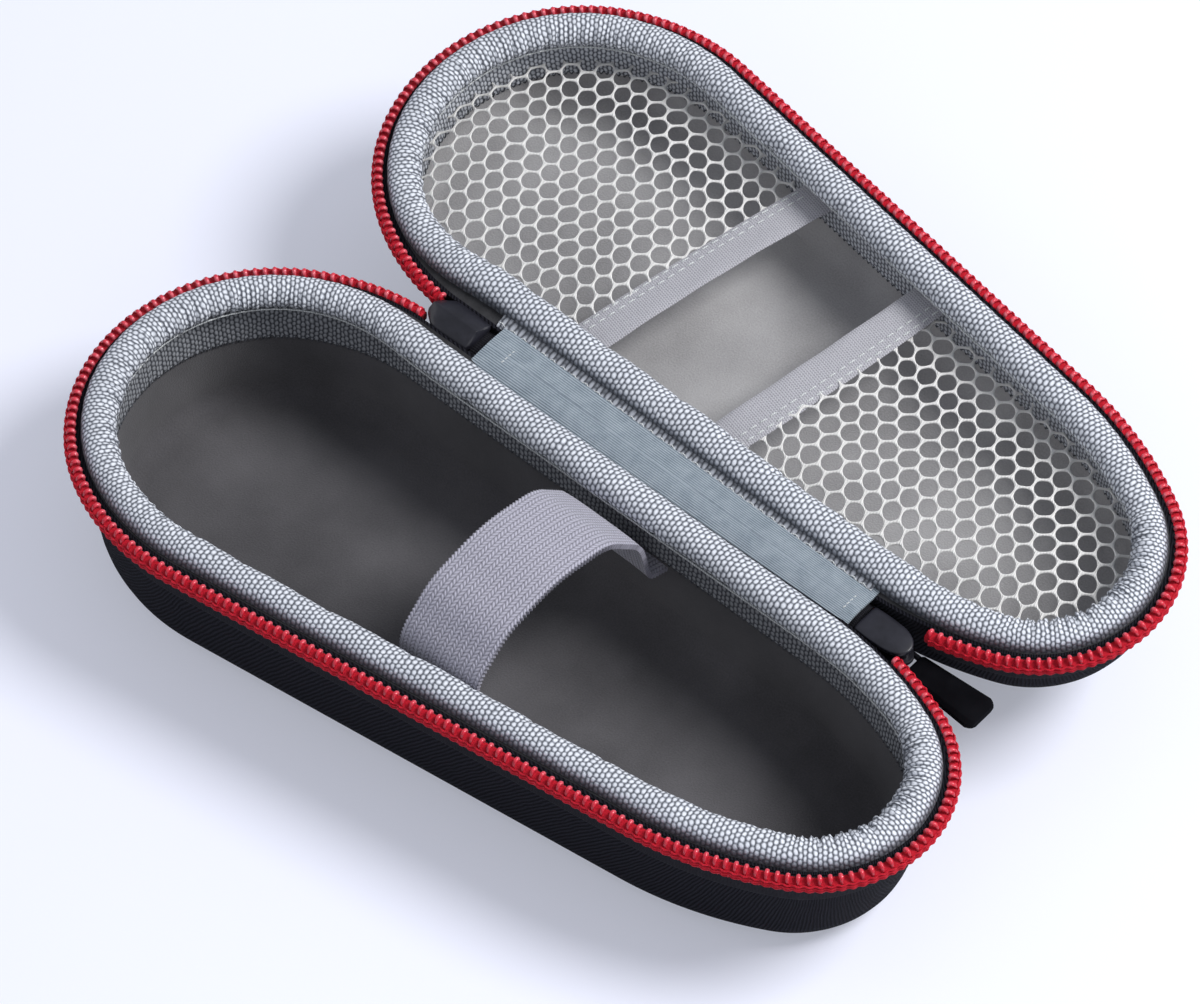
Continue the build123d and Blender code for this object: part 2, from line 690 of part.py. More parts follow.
def pull_grip(centre_x, along):
    """Moulded grip: a paddle that widens to a chamfered end, over the loop's legs."""
    end = GRIP_START + GRIP_LENGTH
    root = GRIP_ROOT_WIDTH / 2
    tip = GRIP_END_WIDTH / 2
    with BuildPart() as grip:
        with BuildSketch(pull_plane(centre_x, along, -GRIP_THICKNESS / 2)):
            with BuildLine():
                Polyline(
                    (GRIP_START, -root),
                    (end - GRIP_CHAMFER, -tip),
                    (end, -tip + GRIP_CHAMFER),
                    (end, tip - GRIP_CHAMFER),
                    (end - GRIP_CHAMFER, tip),
                    (GRIP_START, root),
                    close=True,
                )
            make_face()
        extrude(amount=GRIP_THICKNESS)
        faces = grip.faces().filter_by(pull_plane(centre_x, along).location.z_axis)
        chamfer(faces.edges(), GRIP_EDGE)
        with BuildSketch(pull_plane(centre_x, along, -LOOP_WIRE / 2)):
            with Locations(
                (LOOP_REACH / 2, LOOP_HALF_WIDTH), (LOOP_REACH / 2, -LOOP_HALF_WIDTH)
            ):
                Rectangle(LOOP_REACH, LOOP_WIRE)
        extrude(amount=LOOP_WIRE, mode=Mode.SUBTRACT)
    return grip


# The foot pull sticks straight out past the slider; the head pull hangs down.
pull_directions = {"head": hinge_up * -1, "foot": Vector(1, 0, 0)}
nose_directions = {"head": -1, "foot": 1}
for end, centre_x in SLIDER_CENTRES.items():
    export(slider_body(centre_x, nose_directions[end]), end + "_slider")
    export(pull_loop(centre_x, pull_directions[end]), end + "_pull_loop")
    export(pull_grip(centre_x, pull_directions[end]), end + "_pull_grip")
    pivot = hinge_centre + hinge_up * pivot_height + Vector(centre_x, 0, 0)
    print(end, "pull pivot", tuple(pivot))
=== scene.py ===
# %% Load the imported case
import math
import bmesh
import bpy
import numpy as np
from mathutils import Matrix, Vector


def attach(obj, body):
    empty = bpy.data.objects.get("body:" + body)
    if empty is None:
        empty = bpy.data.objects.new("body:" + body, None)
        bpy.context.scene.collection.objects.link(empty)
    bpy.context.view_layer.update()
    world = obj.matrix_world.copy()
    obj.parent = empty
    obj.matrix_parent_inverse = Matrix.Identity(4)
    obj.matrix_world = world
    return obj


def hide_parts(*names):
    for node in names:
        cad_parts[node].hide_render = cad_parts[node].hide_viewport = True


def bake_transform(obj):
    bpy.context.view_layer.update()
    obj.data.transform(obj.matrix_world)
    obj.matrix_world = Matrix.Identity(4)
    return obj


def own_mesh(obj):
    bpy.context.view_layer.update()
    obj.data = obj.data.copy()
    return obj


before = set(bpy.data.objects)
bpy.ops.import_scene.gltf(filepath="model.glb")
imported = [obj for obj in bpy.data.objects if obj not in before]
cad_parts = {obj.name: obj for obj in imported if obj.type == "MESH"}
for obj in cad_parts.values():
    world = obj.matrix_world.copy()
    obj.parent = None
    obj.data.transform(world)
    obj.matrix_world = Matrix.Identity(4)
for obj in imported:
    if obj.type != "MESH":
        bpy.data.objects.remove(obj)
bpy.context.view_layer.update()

# %% [markdown]
# This lesson dresses a zipped hard travel case for an electric shaver. The case lies open: a deep
# half with a holding strap stands on the table, and a shallower half with two mesh pockets hangs
# on a ribbon hinge behind it. Every fabric is modelled as a thin skin over measured sections,
# because such a case is exactly that: cloth laminated over a moulded foam shell.
# All measures below are in millimetres, and a mesh is scaled to metres when it is made.

# %% The measures of the case
CASE_LENGTH, MIDDLE_HALF_WIDTH = 211.0, 38.4
TAPER = math.radians(4.35)
HEAD_TIP, HEAD_SHOULDER = 41.5, 51.5
FOOT_TIP, FOOT_SHOULDER = 28.2, 93.0
FOOT_RAKE = 0.134
RIM_HEIGHT = 33.5
DEPTH = {"base": 33.5, "lid": 23.0}
WALL_INSET, WALL_TOP = 1.2, 0.6
DRAFT_DEGREES = 6.0
SLOPE = math.tan(math.radians(DRAFT_DEGREES))
BOTTOM_RADIUS = 9.5
COVER, SHELL, LINING = 0.8, 3.0, 0.7
WALL = COVER + SHELL + LINING
HALF_GAP, FOLD_SPAN, FOLD_DROP = 3.0, 3.4, 1.35
LID_TILT = math.radians(7.1)
CHAIN_ENDS = (-61.2, 72.8)
TURN = 2 * math.pi
print("wall", WALL, "mm thick")

# %% Lengths and directions
def lengths_along(points):
    """The distance from the first point to each point, along a line of points."""
    return np.concatenate([[0], np.cumsum(np.linalg.norm(np.diff(points, axis=0), axis=1))])

def unit(vectors):
    return vectors / np.linalg.norm(vectors, axis=-1, keepdims=True)

def wobble(run, *waves):
    """A slow, fixed irregularity along a length: waves of (pitch, size, start)."""
    return sum(size * np.sin(TURN * run / pitch + start) for pitch, size, start in waves)

# %% [markdown]
# Both halves share one outline: two straight sides that close in by a few degrees towards the
# foot, with a broad arc and a tighter tip arc at each end. It could be drawn as a Bezier curve,
# but a curve can't say "2 mm further in". Worked out from its arcs, the outline can be asked for
# at any distance in from the zip line, so all the layers stay parallel, as they do in the mould.

# %% The outline at any distance in from the zip
def end_arcs(inset, tip, tip_radius, shoulder_radius, way):
    """Centre, radius and start and end angles of the shoulder arc and the tip arc of one end."""
    shoulder, point = shoulder_radius - inset, tip_radius - inset
    nx, ny = math.sin(TAPER), math.cos(TAPER)
    point_x = tip - way * inset - way * point
    across = MIDDLE_HALF_WIDTH - inset - shoulder - nx * point_x
    along = math.sqrt((shoulder - point) ** 2 - across**2)
    cx, cy = point_x + across * nx - way * along * ny, across * ny + way * along * nx
    meet = math.atan2(-cy, point_x - cx) % TURN
    meet = meet - TURN if way > 0 and meet > math.pi else meet
    shoulder_arc = (cx, cy, shoulder, math.pi / 2 - TAPER, meet)
    return shoulder_arc, (point_x, 0.0, point, meet, math.pi * (way < 0))

def arc(part, count):
    cx, cy, radius, start, end = part
    angle = np.linspace(start, end, count)
    return np.stack([cx + radius * np.cos(angle), cy + radius * np.sin(angle)], 1)

COUNTS = {"head_tip": 40, "head_shoulder": 26, "side": 84, "foot_shoulder": 46, "foot_tip": 26}

def outline(inset, depth=0.0):
    """Points round a half, from the head tip over the +y side to the foot tip and back."""
    foot_x = CASE_LENGTH / 2 - FOOT_RAKE * max(depth, 0)
    foot = end_arcs(inset, foot_x, FOOT_TIP, FOOT_SHOULDER, 1)
    head = end_arcs(inset, -CASE_LENGTH / 2, HEAD_TIP, HEAD_SHOULDER, -1)
    tip = arc(head[1], COUNTS["head_tip"])[::-1]
    shoulder = arc(head[0], COUNTS["head_shoulder"])[::-1]
    foot_side = arc(foot[0], COUNTS["foot_shoulder"])
    side = np.linspace(shoulder[-1], foot_side[0], COUNTS["side"])
    pieces = [tip, shoulder, side, foot_side, arc(foot[1], COUNTS["foot_tip"])]
    upper = np.concatenate([piece[:-1] for piece in pieces] + [pieces[-1][-1:]])
    return np.concatenate([upper, upper[1:-1][::-1] * (1, -1)])

zip_line = outline(0)
inward = outline(1.0) - zip_line
closed_zip = np.concatenate([zip_line, zip_line[:1]])
closed_inward = np.concatenate([inward, inward[:1]])
along_rim = lengths_along(closed_zip)
rim_length = along_rim[-1]
print(len(zip_line), "stations round a rim of", round(rim_length), "mm")

# %% Where each half stands
def tilted(angle):
    """The direction away from the hinge and the direction up, for a plane that is tilted."""
    c, s = math.cos(angle), math.sin(angle)
    return np.array([0, c, s]), np.array([0, -s, c])

lid_in, lid_up = tilted(LID_TILT)
across_hinge, hinge_up = tilted(LID_TILT / 2)
base_fold = np.array([0, -FOLD_SPAN, RIM_HEIGHT - FOLD_DROP])
hinge_middle = base_fold + across_hinge * FOLD_SPAN
lid_fold = base_fold + across_hinge * 2 * FOLD_SPAN
lid_zip = lid_fold + lid_up * FOLD_DROP - lid_in * (FOLD_SPAN - HALF_GAP)
base_x = np.array([math.cos(TAPER), math.sin(TAPER), 0])
lid_x = np.array([math.cos(TAPER), 0, 0]) - lid_in * math.sin(TAPER)
UP = {"base": np.array([0, 0, 1.0]), "lid": lid_up}
base_origin = np.array([0, -HALF_GAP - MIDDLE_HALF_WIDTH, RIM_HEIGHT])
HALVES = {
    "base": (base_origin, base_x, np.cross(UP["base"], base_x), UP["base"]),
    "lid": (lid_zip + lid_in * MIDDLE_HALF_WIDTH, lid_x, np.cross(lid_up, lid_x), lid_up),
}

def place(half, flat, height):
    """Points of a half's own plane, and their heights above its rim, as places in the room."""
    origin, ex, ey, ez = HALVES[half]
    flat = np.asarray(flat, float)
    height = np.broadcast_to(height, flat.shape[:-1])[..., None]
    return origin + flat[..., :1] * ex + flat[..., 1:2] * ey + height * ez

def hinge_place(x, a, height):
    """Places over the hinge: x along it, a across it towards the lid, and a height."""
    x, a, height = np.broadcast_arrays(x, a, height)
    along = np.stack([x, 0 * x, 0 * x], -1)
    return hinge_middle + along + a[..., None] * across_hinge + height[..., None] * hinge_up

def at_hinge_side(half):
    """Sign of a half's own y on the side where the hinge is."""
    return 1 if half == "base" else -1

def wall_inset(z, layer):
    """How far in the wall stands at a height z, at a depth of layer under its outer face."""
    return WALL_INSET + layer - z * SLOPE

def raked(spot, z):
    """How far the foot's wall leans in at a height z, as a move in the half's plane."""
    lean = FOOT_RAKE * np.maximum(-z, 0) * np.clip(spot[:, 0] / 100, 0, 1) ** 4
    return np.stack([-lean, 0 * lean], 1)

print("lid's rim stands", round(float(lid_zip[2]), 1), "mm up at the hinge")

# %% [markdown]
# One helper makes most of the meshes. It takes rows of points and joins each row to the next
# with quads, and it stores texture coordinates in millimetres of cloth. A weave written in
# millimetres then has its true size on every piece, and it turns with the cloth round a bend.
# Blender's own unwrapping would guess at this; a sewn thing is better measured than guessed.

# %% Meshes from rows and rings of points
def grid(rows, width, across):
    """Row, column and next column of each quad between rows of points, and the quads."""
    r, i = np.meshgrid(np.arange(rows), np.arange(across), indexing="ij")
    r, i = r.ravel(), i.ravel()
    j = (i + 1) % width
    after = (r + 1) * width
    return r, i, j, np.stack([r * width + i, r * width + j, after + j, after + i], 1)

def mesh_piece(name, points, faces, uv=None):
    mesh = bpy.data.meshes.new(name)
    faces = [list(map(int, face)) for face in faces]
    mesh.from_pydata((np.asarray(points) / 1000).tolist(), [], faces)
    if uv is not None:
        layer = mesh.uv_layers.new(name="cloth")
        layer.data.foreach_set("uv", np.asarray(uv, np.float32).ravel())
    mesh.polygons.foreach_set("use_smooth", [True] * len(mesh.polygons))
    mesh.update()
    made = bpy.data.objects.new(name, mesh)
    bpy.context.scene.collection.objects.link(made)
    return made

def weld(made, fill=False):
    """Merges points that coincide, may close open ends, turns faces outwards, marks sharp edges."""
    work = bmesh.new()
    work.from_mesh(made.data)
    bmesh.ops.remove_doubles(work, verts=work.verts, dist=2e-6)
    if fill:
        bmesh.ops.holes_fill(work, edges=[edge for edge in work.edges if edge.is_boundary], sides=0)
    bmesh.ops.recalc_face_normals(work, faces=work.faces)
    for edge in work.edges:
        edge.smooth = edge.calc_face_angle(0.0) < math.radians(48)
    work.to_mesh(made.data)
    work.free()
    return made

def skin(name, rows, cloth, closed=True, fill=False):
    """A welded quad mesh from rows[r, i, xyz] with cloth[r, i, uv], both in millimetres."""
    rows, cloth = np.asarray(rows, float), np.asarray(cloth, float)
    count, width = rows.shape[:2]
    r, i, j, faces = grid(count - 1, width, width if closed else width - 1)
    after = i + 1 if cloth.shape[1] > width else j
    uv = np.stack([cloth[r, i], cloth[r, after], cloth[r + 1, after], cloth[r + 1, i]], 1)
    return weld(mesh_piece(name, rows.reshape(-1, 3), faces, uv.reshape(-1, 2)), fill)

def cloth_row(run, across):
    """Cloth coordinates of one row: its lengths, and one distance across."""
    return np.stack([run, np.full(len(run), across)], 1)

def loft_faces(rows, steps):
    """Faces of a stack of rings, with both ends closed."""
    ends = [list(range(steps))[::-1], list(range((rows - 1) * steps, rows * steps))]
    return grid(rows - 1, steps, steps)[-1].tolist() + ends

def lofted(rings):
    """Points and faces of a stack of rings that closes at both ends."""
    rings = [np.asarray(ring, float) for ring in rings]
    return np.concatenate(rings), loft_faces(len(rings), len(rings[0]))

def tube(points, radius, sides=6):
    """Points and faces of a round thread along a line; radius may vary along it."""
    points = np.asarray(points, float)
    ahead = np.gradient(points, axis=0)
    ahead /= np.linalg.norm(ahead, axis=1)[:, None] + 1e-12
    side = np.cross(ahead[0], (0.3, 0.5, 0.8))
    angle = np.arange(sides) * TURN / sides
    c, s = np.cos(angle)[:, None], np.sin(angle)[:, None]
    rings = []
    for point, heading, size in zip(points, ahead, np.broadcast_to(radius, len(points))):
        side = side - heading * side.dot(heading)
        side /= np.linalg.norm(side)
        rings.append(point + size * (c * side + s * np.cross(heading, side)))
    return lofted(rings)

def gather_pieces(name, made):
    """One object from several (points, faces) pairs, with cloth coordinates along X and Y."""
    verts, faces, start = np.concatenate([points for points, polygons in made]), [], 0
    for points, polygons in made:
        faces += [[index + start for index in polygon] for polygon in polygons]
        start += len(points)
    return mesh_piece(name, verts, faces, [verts[index][:2] for face in faces for index in face])

def finish_piece(made, material, body, slot, *nodes):
    """Gives a piece its material, its body if it rides on one, and hides the nodes it stands for.
    """
    made.data.materials.append(material)
    if body:
        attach(made, body)
    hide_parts(*nodes)
    print(made.name, len(made.data.polygons), "faces")
    return made

def smooth_line(points, count):
    """A Catmull-Rom line through points, at even lengths."""
    points = np.asarray(points, float)
    p = np.concatenate([2 * points[:1] - points[1:2], points, 2 * points[-1:] - points[-2:-1]])
    t = np.linspace(0, 1, 24)[:-1, None]
    parts = []
    for a, b, c, d in zip(p, p[1:], p[2:], p[3:]):
        bend, twist = 2 * a - 5 * b + 4 * c - d, 3 * b - a - 3 * c + d
        parts.append(0.5 * (2 * b + (c - a) * t + bend * t**2 + twist * t**3))
    dense = np.concatenate(parts + [p[-2:-1]])
    run = lengths_along(dense)
    even = np.linspace(0, run[-1], count)
    return np.stack([np.interp(even, run, dense[:, k]) for k in range(dense.shape[1])], 1)

# %% [markdown]
# A finish is a small tree of shader nodes. Wiring them by hand takes many lines each, so a value
# in the tree is wrapped to take plain arithmetic, and each plus or times adds its Math node.
# Numbers that hold all over a surface go straight on the shader.

# %% Helpers for finishes
class Value:
    """A number that varies over a surface. Arithmetic with it adds Math nodes to its finish."""
    def __init__(self, finish, socket):
        self.finish, self.socket = finish, socket

    def of(self, what, *others):
        return self.finish.math(what, self, *others)

    def wave(self, pitch):
        """Half a sine for each pitch: 0 in the groove and 1 on the ridge."""
        return (self * (math.pi / pitch)).of("SINE").of("ABSOLUTE")

    def remap(self, smooth=True, **ends):
        """Maps the value between ends that are given as from_min, from_max, to_min and to_max."""
        inputs = {key.replace("_", " ").title(): end for key, end in ends.items()}
        node = self.finish.add("ShaderNodeMapRange", {"Value": self, **inputs})
        node.interpolation_type = "SMOOTHSTEP" if smooth else "LINEAR"
        return Value(self.finish, node.outputs[0])

    def __add__(self, other):
        return self.of("ADD", other)

    def __radd__(self, other):
        return self.finish.math("ADD", other, self)

    def __sub__(self, other):
        return self.of("SUBTRACT", other)

    def __mul__(self, other):
        return self.of("MULTIPLY", other)

    def __truediv__(self, other):
        return self.of("DIVIDE", other)

class Finish:
    """A material under construction, with its shader and its cloth coordinates u and v."""
    def __init__(self, name, roughness, sheen=0.0, coat=0.0, specular=0.5):
        self.material = bpy.data.materials.new(name)
        self.material.use_nodes = True
        self.tree = self.material.node_tree
        self.shader = self.tree.nodes["Principled BSDF"]
        held = {"Roughness": roughness, "Sheen Weight": sheen, "Coat Weight": coat}
        for socket, value in {**held, "Specular IOR Level": specular}.items():
            self.shader.inputs[socket].default_value = value
        self.cloth = self.add("ShaderNodeUVMap", uv_map="cloth").outputs[0]
        parts = self.add("ShaderNodeSeparateXYZ", {0: self.cloth})
        self.u, self.v = Value(self, parts.outputs[0]), Value(self, parts.outputs[1])
        self.room = self.add("ShaderNodeTexCoord").outputs["Object"]

    def link(self, value, socket):
        """Links a value or a node's output to a socket, or sets a plain number on it."""
        value = value.socket if isinstance(value, Value) else value
        if isinstance(value, bpy.types.NodeSocket):
            self.tree.links.new(value, socket)
        else:
            socket.default_value = value

    def add(self, kind, inputs=(), **settings):
        made = self.tree.nodes.new(kind)
        for key, value in settings.items():
            setattr(made, key, value)
        for key, value in dict(inputs).items():
            self.link(value, made.inputs[key])
        return made

    def math(self, what, *values):
        node = self.add("ShaderNodeMath", dict(enumerate(values)), operation=what)
        return Value(self, node.outputs[0])

    def noise(self, scale, detail=2.0, where=None, roughness=0.5):
        inputs = {"Vector": where or self.cloth, "Scale": scale, "Detail": detail}
        node = self.add("ShaderNodeTexNoise", {**inputs, "Roughness": roughness})
        return Value(self, node.outputs[0])

    def ramp(self, value, stops):
        made = self.add("ShaderNodeValToRGB", {0: value})
        while len(made.color_ramp.elements) < len(stops):
            made.color_ramp.elements.new(0.5)
        for element, (position, colour) in zip(made.color_ramp.elements, stops):
            element.position, element.color = position, (*colour, 1)
        return made.outputs[0]

    def done(self, colour, height=None, depth=0.1, roughness=None):
        """Links the colour, and a height in 0 to 1 that stands depth millimetres proud."""
        self.link(colour, self.shader.inputs["Base Color"])
        if roughness is not None:
            self.link(roughness, self.shader.inputs["Roughness"])
        if height is not None:
            inputs = {"Strength": 1.0, "Distance": depth / 1000, "Height": height}
            self.link(self.add("ShaderNodeBump", inputs).outputs[0], self.shader.inputs["Normal"])
        return self.material

# %% [markdown]
# The light is a plain photo studio: one large soft lamp overhead, a weaker one from each side and
# a pale world. Strong lamps would bleach the pale binding, so the lamps stay low and the floor is
# made white by its own glow. The camera repeats the view of a product photograph taken with a
# long lens from above one corner, so both halves and the hinge between them can be seen.

# %% Camera and lamps
scene = bpy.context.scene
scene.view_settings.view_transform = "Standard"
AZIMUTH, ELEVATION, DISTANCE = math.radians(42.69), math.radians(51.52), 1248.7
TARGET = np.array([-17.42, 4.74, 0])
level = math.cos(ELEVATION)
back = np.array([math.sin(AZIMUTH) * level, -math.cos(AZIMUTH) * level, math.sin(ELEVATION)])
right = np.array([math.cos(AZIMUTH), math.sin(AZIMUTH), 0])
view = bpy.data.cameras.new("camera")
view.lens, view.sensor_width, view.sensor_fit = 175.24, 36, "HORIZONTAL"
view.clip_start, view.clip_end = 0.05, 20
camera = bpy.data.objects.new("camera", view)
scene.collection.objects.link(camera)
turn = Matrix([right, np.cross(back, right), back]).transposed()
camera.matrix_world = Matrix.Translation((TARGET + back * DISTANCE) / 1000) @ turn.to_4x4()
scene.camera = camera
LAMP_AIM = Vector((0, 0, 0.02))

def lamp(name, spot, size, power):
    light = bpy.data.lights.new(name, "AREA")
    light.shape, light.size, light.energy = "DISK", size, power
    made = bpy.data.objects.new(name, light)
    scene.collection.objects.link(made)
    made.location = spot
    made.rotation_euler = (LAMP_AIM - made.location).to_track_quat("-Z", "Y").to_euler()

lamp("key", (0.6, 0.5, 1.0), 0.55, 16.0)
lamp("front_left", (-1.0, -0.5, 0.6), 0.6, 1.2)
lamp("front_right", (0.7, -0.9, 0.7), 0.6, 1.5)
print("camera", camera.location[:])

# %% World and floor
world = bpy.data.worlds.new("studio")
scene.world = world
world.use_nodes = True
sky = world.node_tree
pale = sky.nodes["Background"]
pale.inputs["Color"].default_value = (0.86, 0.9, 1.0, 1)
pale.inputs["Strength"].default_value = 0.46
white = sky.nodes.new("ShaderNodeBackground")
white.inputs["Color"].default_value = (1, 1, 1, 1)
ray = sky.nodes.new("ShaderNodeLightPath")
mix = sky.nodes.new("ShaderNodeMixShader")
for k, output in enumerate((ray.outputs["Is Camera Ray"], pale.outputs[0], white.outputs[0])):
    sky.links.new(output, mix.inputs[k])
sky.links.new(mix.outputs[0], sky.nodes["World Output"].inputs[0])

FLOOR_RADIUS, FLOOR_HEIGHT, FLOOR_SIDES = 3000, -0.15, 64
ground = Finish("studio_floor", 0.6, specular=0.2)
tint = [(0.3, (0.8, 0.815, 0.93)), (0.7, (0.82, 0.835, 0.95))]
floor_material = ground.done(ground.ramp(ground.noise(3.0, where=ground.room), tint))
glow = ground.add("ShaderNodeEmission", {"Color": (0.86, 0.89, 1.0, 1), "Strength": 1.1})
seen = ground.add("ShaderNodeLightPath")
share = ground.math("MULTIPLY", seen.outputs["Is Camera Ray"], 0.3)
shaders = {0: share, 1: ground.shader.outputs[0], 2: glow.outputs[0]}
blended = ground.add("ShaderNodeMixShader", shaders)
ground.link(blended.outputs[0], ground.tree.nodes["Material Output"].inputs[0])
angle = np.linspace(0, TURN, FLOOR_SIDES + 1)[:-1]
disc = [FLOOR_RADIUS * np.cos(angle), FLOOR_RADIUS * np.sin(angle), 0 * angle + FLOOR_HEIGHT]
floor = mesh_piece("studio_floor", np.stack(disc, 1), [list(range(FLOOR_SIDES))])
floor.data.materials.append(floor_material)
print("floor of", FLOOR_SIDES, "sides")

# %% [markdown]
# The outside is a black polyester twill: fine slanting ribs about a millimetre apart, nearly
# black, with a faint grey sheen. The ribs are a wave across the cloth's own diagonal, and noise
# breaks them up so that no two look ruled. The foam under it never shows, but it has its grain.

# %% Black cloths
def black_twill():
    cloth = Finish("black_twill", 0.9, sheen=0.01, specular=0.08)
    waver = cloth.noise(0.2, 3) * 1.1
    slant = cloth.u * 0.78 + cloth.v * 0.62
    rib = (slant + waver).wave(0.92)
    thread = (cloth.u - cloth.v).wave(0.42)
    broken = cloth.noise(2.6, 2)
    height = rib * (0.7 + thread * 0.3)
    tone = height * 0.75 + broken * 0.35
    blacks = [(0.1, (0.002, 0.002, 0.003)), (0.6, (0.006, 0.006, 0.009))]
    return cloth.done(cloth.ramp(tone, blacks + [(1.0, (0.02, 0.02, 0.028))]), height, 0.17)

def black_knit():
    cloth = Finish("black_tape", 0.85, sheen=0.01, specular=0.1)
    courses = cloth.v.wave(0.55)
    wales = (cloth.u + courses * 0.25).wave(0.75)
    height = courses * (0.5 + wales * 0.5)
    tone = height * 0.6 + cloth.noise(0.3, 3) * 0.4
    blacks = [(0.15, (0.004, 0.004, 0.006)), (0.9, (0.018, 0.018, 0.023))]
    return cloth.done(cloth.ramp(tone, blacks), height, 0.12)

def eva_foam():
    foam = Finish("eva_foam", 0.9, specular=0.25)
    cells = foam.add("ShaderNodeTexVoronoi", {"Vector": foam.room, "Scale": 1400.0}).outputs[0]
    blacks = [(0.3, (0.02, 0.02, 0.022)), (0.7, (0.035, 0.035, 0.038))]
    return foam.done(foam.ramp(foam.noise(300, 2, foam.room), blacks), cells, 0.1)

TWILL, KNIT, FOAM = black_twill(), black_knit(), eva_foam()
print("finishes", TWILL.name, KNIT.name, FOAM.name)

# %% [markdown]
# The inside is lined with a short grey velour. Velour has no weave to see: its pile leans this
# way and that, so it is dark where it faces the eye and paler where it leans away. Two sizes of
# noise make the brushed patches, and sheen gives the pale glance at the walls.
# The deep half's lining is darker than the lid's, as the light falls into it less.

# %% Grey velour
def velour(name, dark, pale):
    pile = Finish(name, 0.95, sheen=0.18, specular=0.1)
    pile.shader.inputs["Sheen Roughness"].default_value = 0.6
    patches = pile.noise(0.03, 4)
    grain = pile.noise(2.4, 3)
    tone = patches * 0.8 + grain * 0.3
    return pile.done(pile.ramp(tone, [(0.32, dark), (0.72, pale)]), grain, 0.12)

VELOUR = {
    "base": velour("base_velour", (0.04, 0.0385, 0.042), (0.105, 0.101, 0.108)),
    "lid": velour("lid_velour", (0.21, 0.205, 0.208), (0.42, 0.412, 0.416)),
}
print("linings", [finish.name for finish in VELOUR.values()])

# %% [markdown]
# The padded rim is bound in a pale spacer mesh. Seen close, it is columns of white oval knots
# across the roll, over small dark gaps, and each column is shifted by half a knot. A picture
# would do it too, but here the cloth's own millimetres are cut into cells with Floor and Fract,
# and the distance from a cell's middle gives both the knot's colour and its height. The first
# millimetres of the cloth are painted darker: painted shade for the shadow at the roll's outer
# foot.

# %% Pale spacer mesh
KNOT_COLUMN, KNOT_PITCH = 1.14, 1.5
GREYS = [
    (0.14, (0.04, 0.044, 0.056)),
    (0.4, (0.17, 0.182, 0.21)),
    (0.7, (0.46, 0.482, 0.535)),
    (0.97, (0.77, 0.795, 0.85)),
]

def spacer_mesh(name, shade=1.0):
    cloth = Finish(name, 0.62, sheen=0.08, specular=0.35)
    sway = (cloth.noise(0.3, 2) - 0.5) * 1.1
    column = (cloth.u + sway) / KNOT_COLUMN
    shift = column.of("FLOOR").of("MODULO", 2.0) * 0.5
    knot_row = (cloth.v + sway) / KNOT_PITCH + shift
    off_u = (column.of("FRACT") - 0.5) / 0.56
    off_v = (knot_row.of("FRACT") - 0.5) / 0.6
    reach = (off_u * off_u + off_v * off_v).of("SQRT")
    knot = reach.remap(from_min=1.18, from_max=0.3)
    patch = cloth.noise(0.12, 3) * 0.16
    fibre = cloth.noise(3.4, 2) * 0.22
    bright = knot * 0.74 + (patch + fibre)
    # Painted shade: the first 3.4 mm of the cloth are darkened, for the shadow at the roll's outer
    # foot.
    painted_foot_shade = cloth.v.remap(from_min=0.4, from_max=3.4, to_min=0.26, to_max=1.0)
    greys = [(at, tuple(part * shade for part in grey)) for at, grey in GREYS]
    return cloth.done(cloth.ramp(bright * painted_foot_shade, greys), knot, 0.2)

MESH = spacer_mesh("pale_mesh")
# Painted shade: the trim and the outer leg are the roll's mesh with all greys darkened, the most in
# the deep half, where less light falls.
INNER_PAINTED_SHADE = {"base": 0.42, "lid": 0.74}
INNER_MESH = {half: spacer_mesh(half + "_inner_mesh", shade) for half, shade in INNER_PAINTED_SHADE.items()}
print("meshes", MESH.name, [finish.name for finish in INNER_MESH.values()])

# %% [markdown]
# Each half is a moulded tray: a flat floor, a rounded corner and a wall that leans out by a few
# degrees. The cover and the lining are both closed skins between two faces of that wall, each at
# its own depth under the outer face. The floor's rows shrink towards a spine along its middle.

# %% The moulded wall's section
def bowl_section(depth, layer):
    """Insets and heights of a face at a depth of layer, from the floor's edge up to the top."""
    radius, floor_height = BOTTOM_RADIUS - layer, -(depth - layer)
    half_turn = math.radians((90 - DRAFT_DEGREES) / 2)
    middle = wall_inset(floor_height, layer) + radius * math.tan(half_turn)
    angle = np.radians(np.linspace(90, DRAFT_DEGREES, 10))
    bend = [middle - radius * np.cos(angle), floor_height + radius * (1 - np.sin(angle))]
    wall = [(wall_inset(z, layer), z) for z in np.linspace(bend[1][-1], WALL_TOP, 12)]
    return np.concatenate([np.stack(bend, 1), wall[1:]])

def bowl_rows(half, layer):
    """Rows of a moulded layer's face from the spine of its floor to its edge, with their cloth."""
    section = bowl_section(DEPTH[half], layer)
    flat = [outline(inset, -z) for inset, z in section]
    spine = flat[0] * (0.5, 0)
    floor_rings = [spine + (flat[0] - spine) * share for share in np.linspace(0, 1, 10)[:-1]]
    rows = [place(half, ring, section[0][1]) for ring in floor_rings]
    rows += [place(half, ring, z) for (inset, z), ring in zip(section, flat)]
    way = outline(-1.0) - outline(0)
    return rows, floor_rings + [flat[0] + way * length for length in lengths_along(section)]

def moulded_skin(name, half, outer, inner):
    """A closed fabric skin between two faces of the wall, open side up."""
    out_rows, out_cloth = bowl_rows(half, outer)
    in_rows, in_cloth = bowl_rows(half, inner)
    return skin(name, out_rows + in_rows[::-1], out_cloth + in_cloth[::-1])

# %% Covers and linings
for half in HALVES:
    cover = moulded_skin(half + "_outer_cloth", half, 0, COVER)
    lining = moulded_skin(half + "_inner_cloth", half, COVER + SHELL, WALL)
    finish_piece(cover, TWILL, half, "black_twill", half + "_cover")
    finish_piece(lining, VELOUR[half], half, "grey_velour", half + "_lining")
    foam = bpy.data.objects[half + "_shell"]
    foam.data.materials.clear()
    foam.data.materials.append(FOAM)

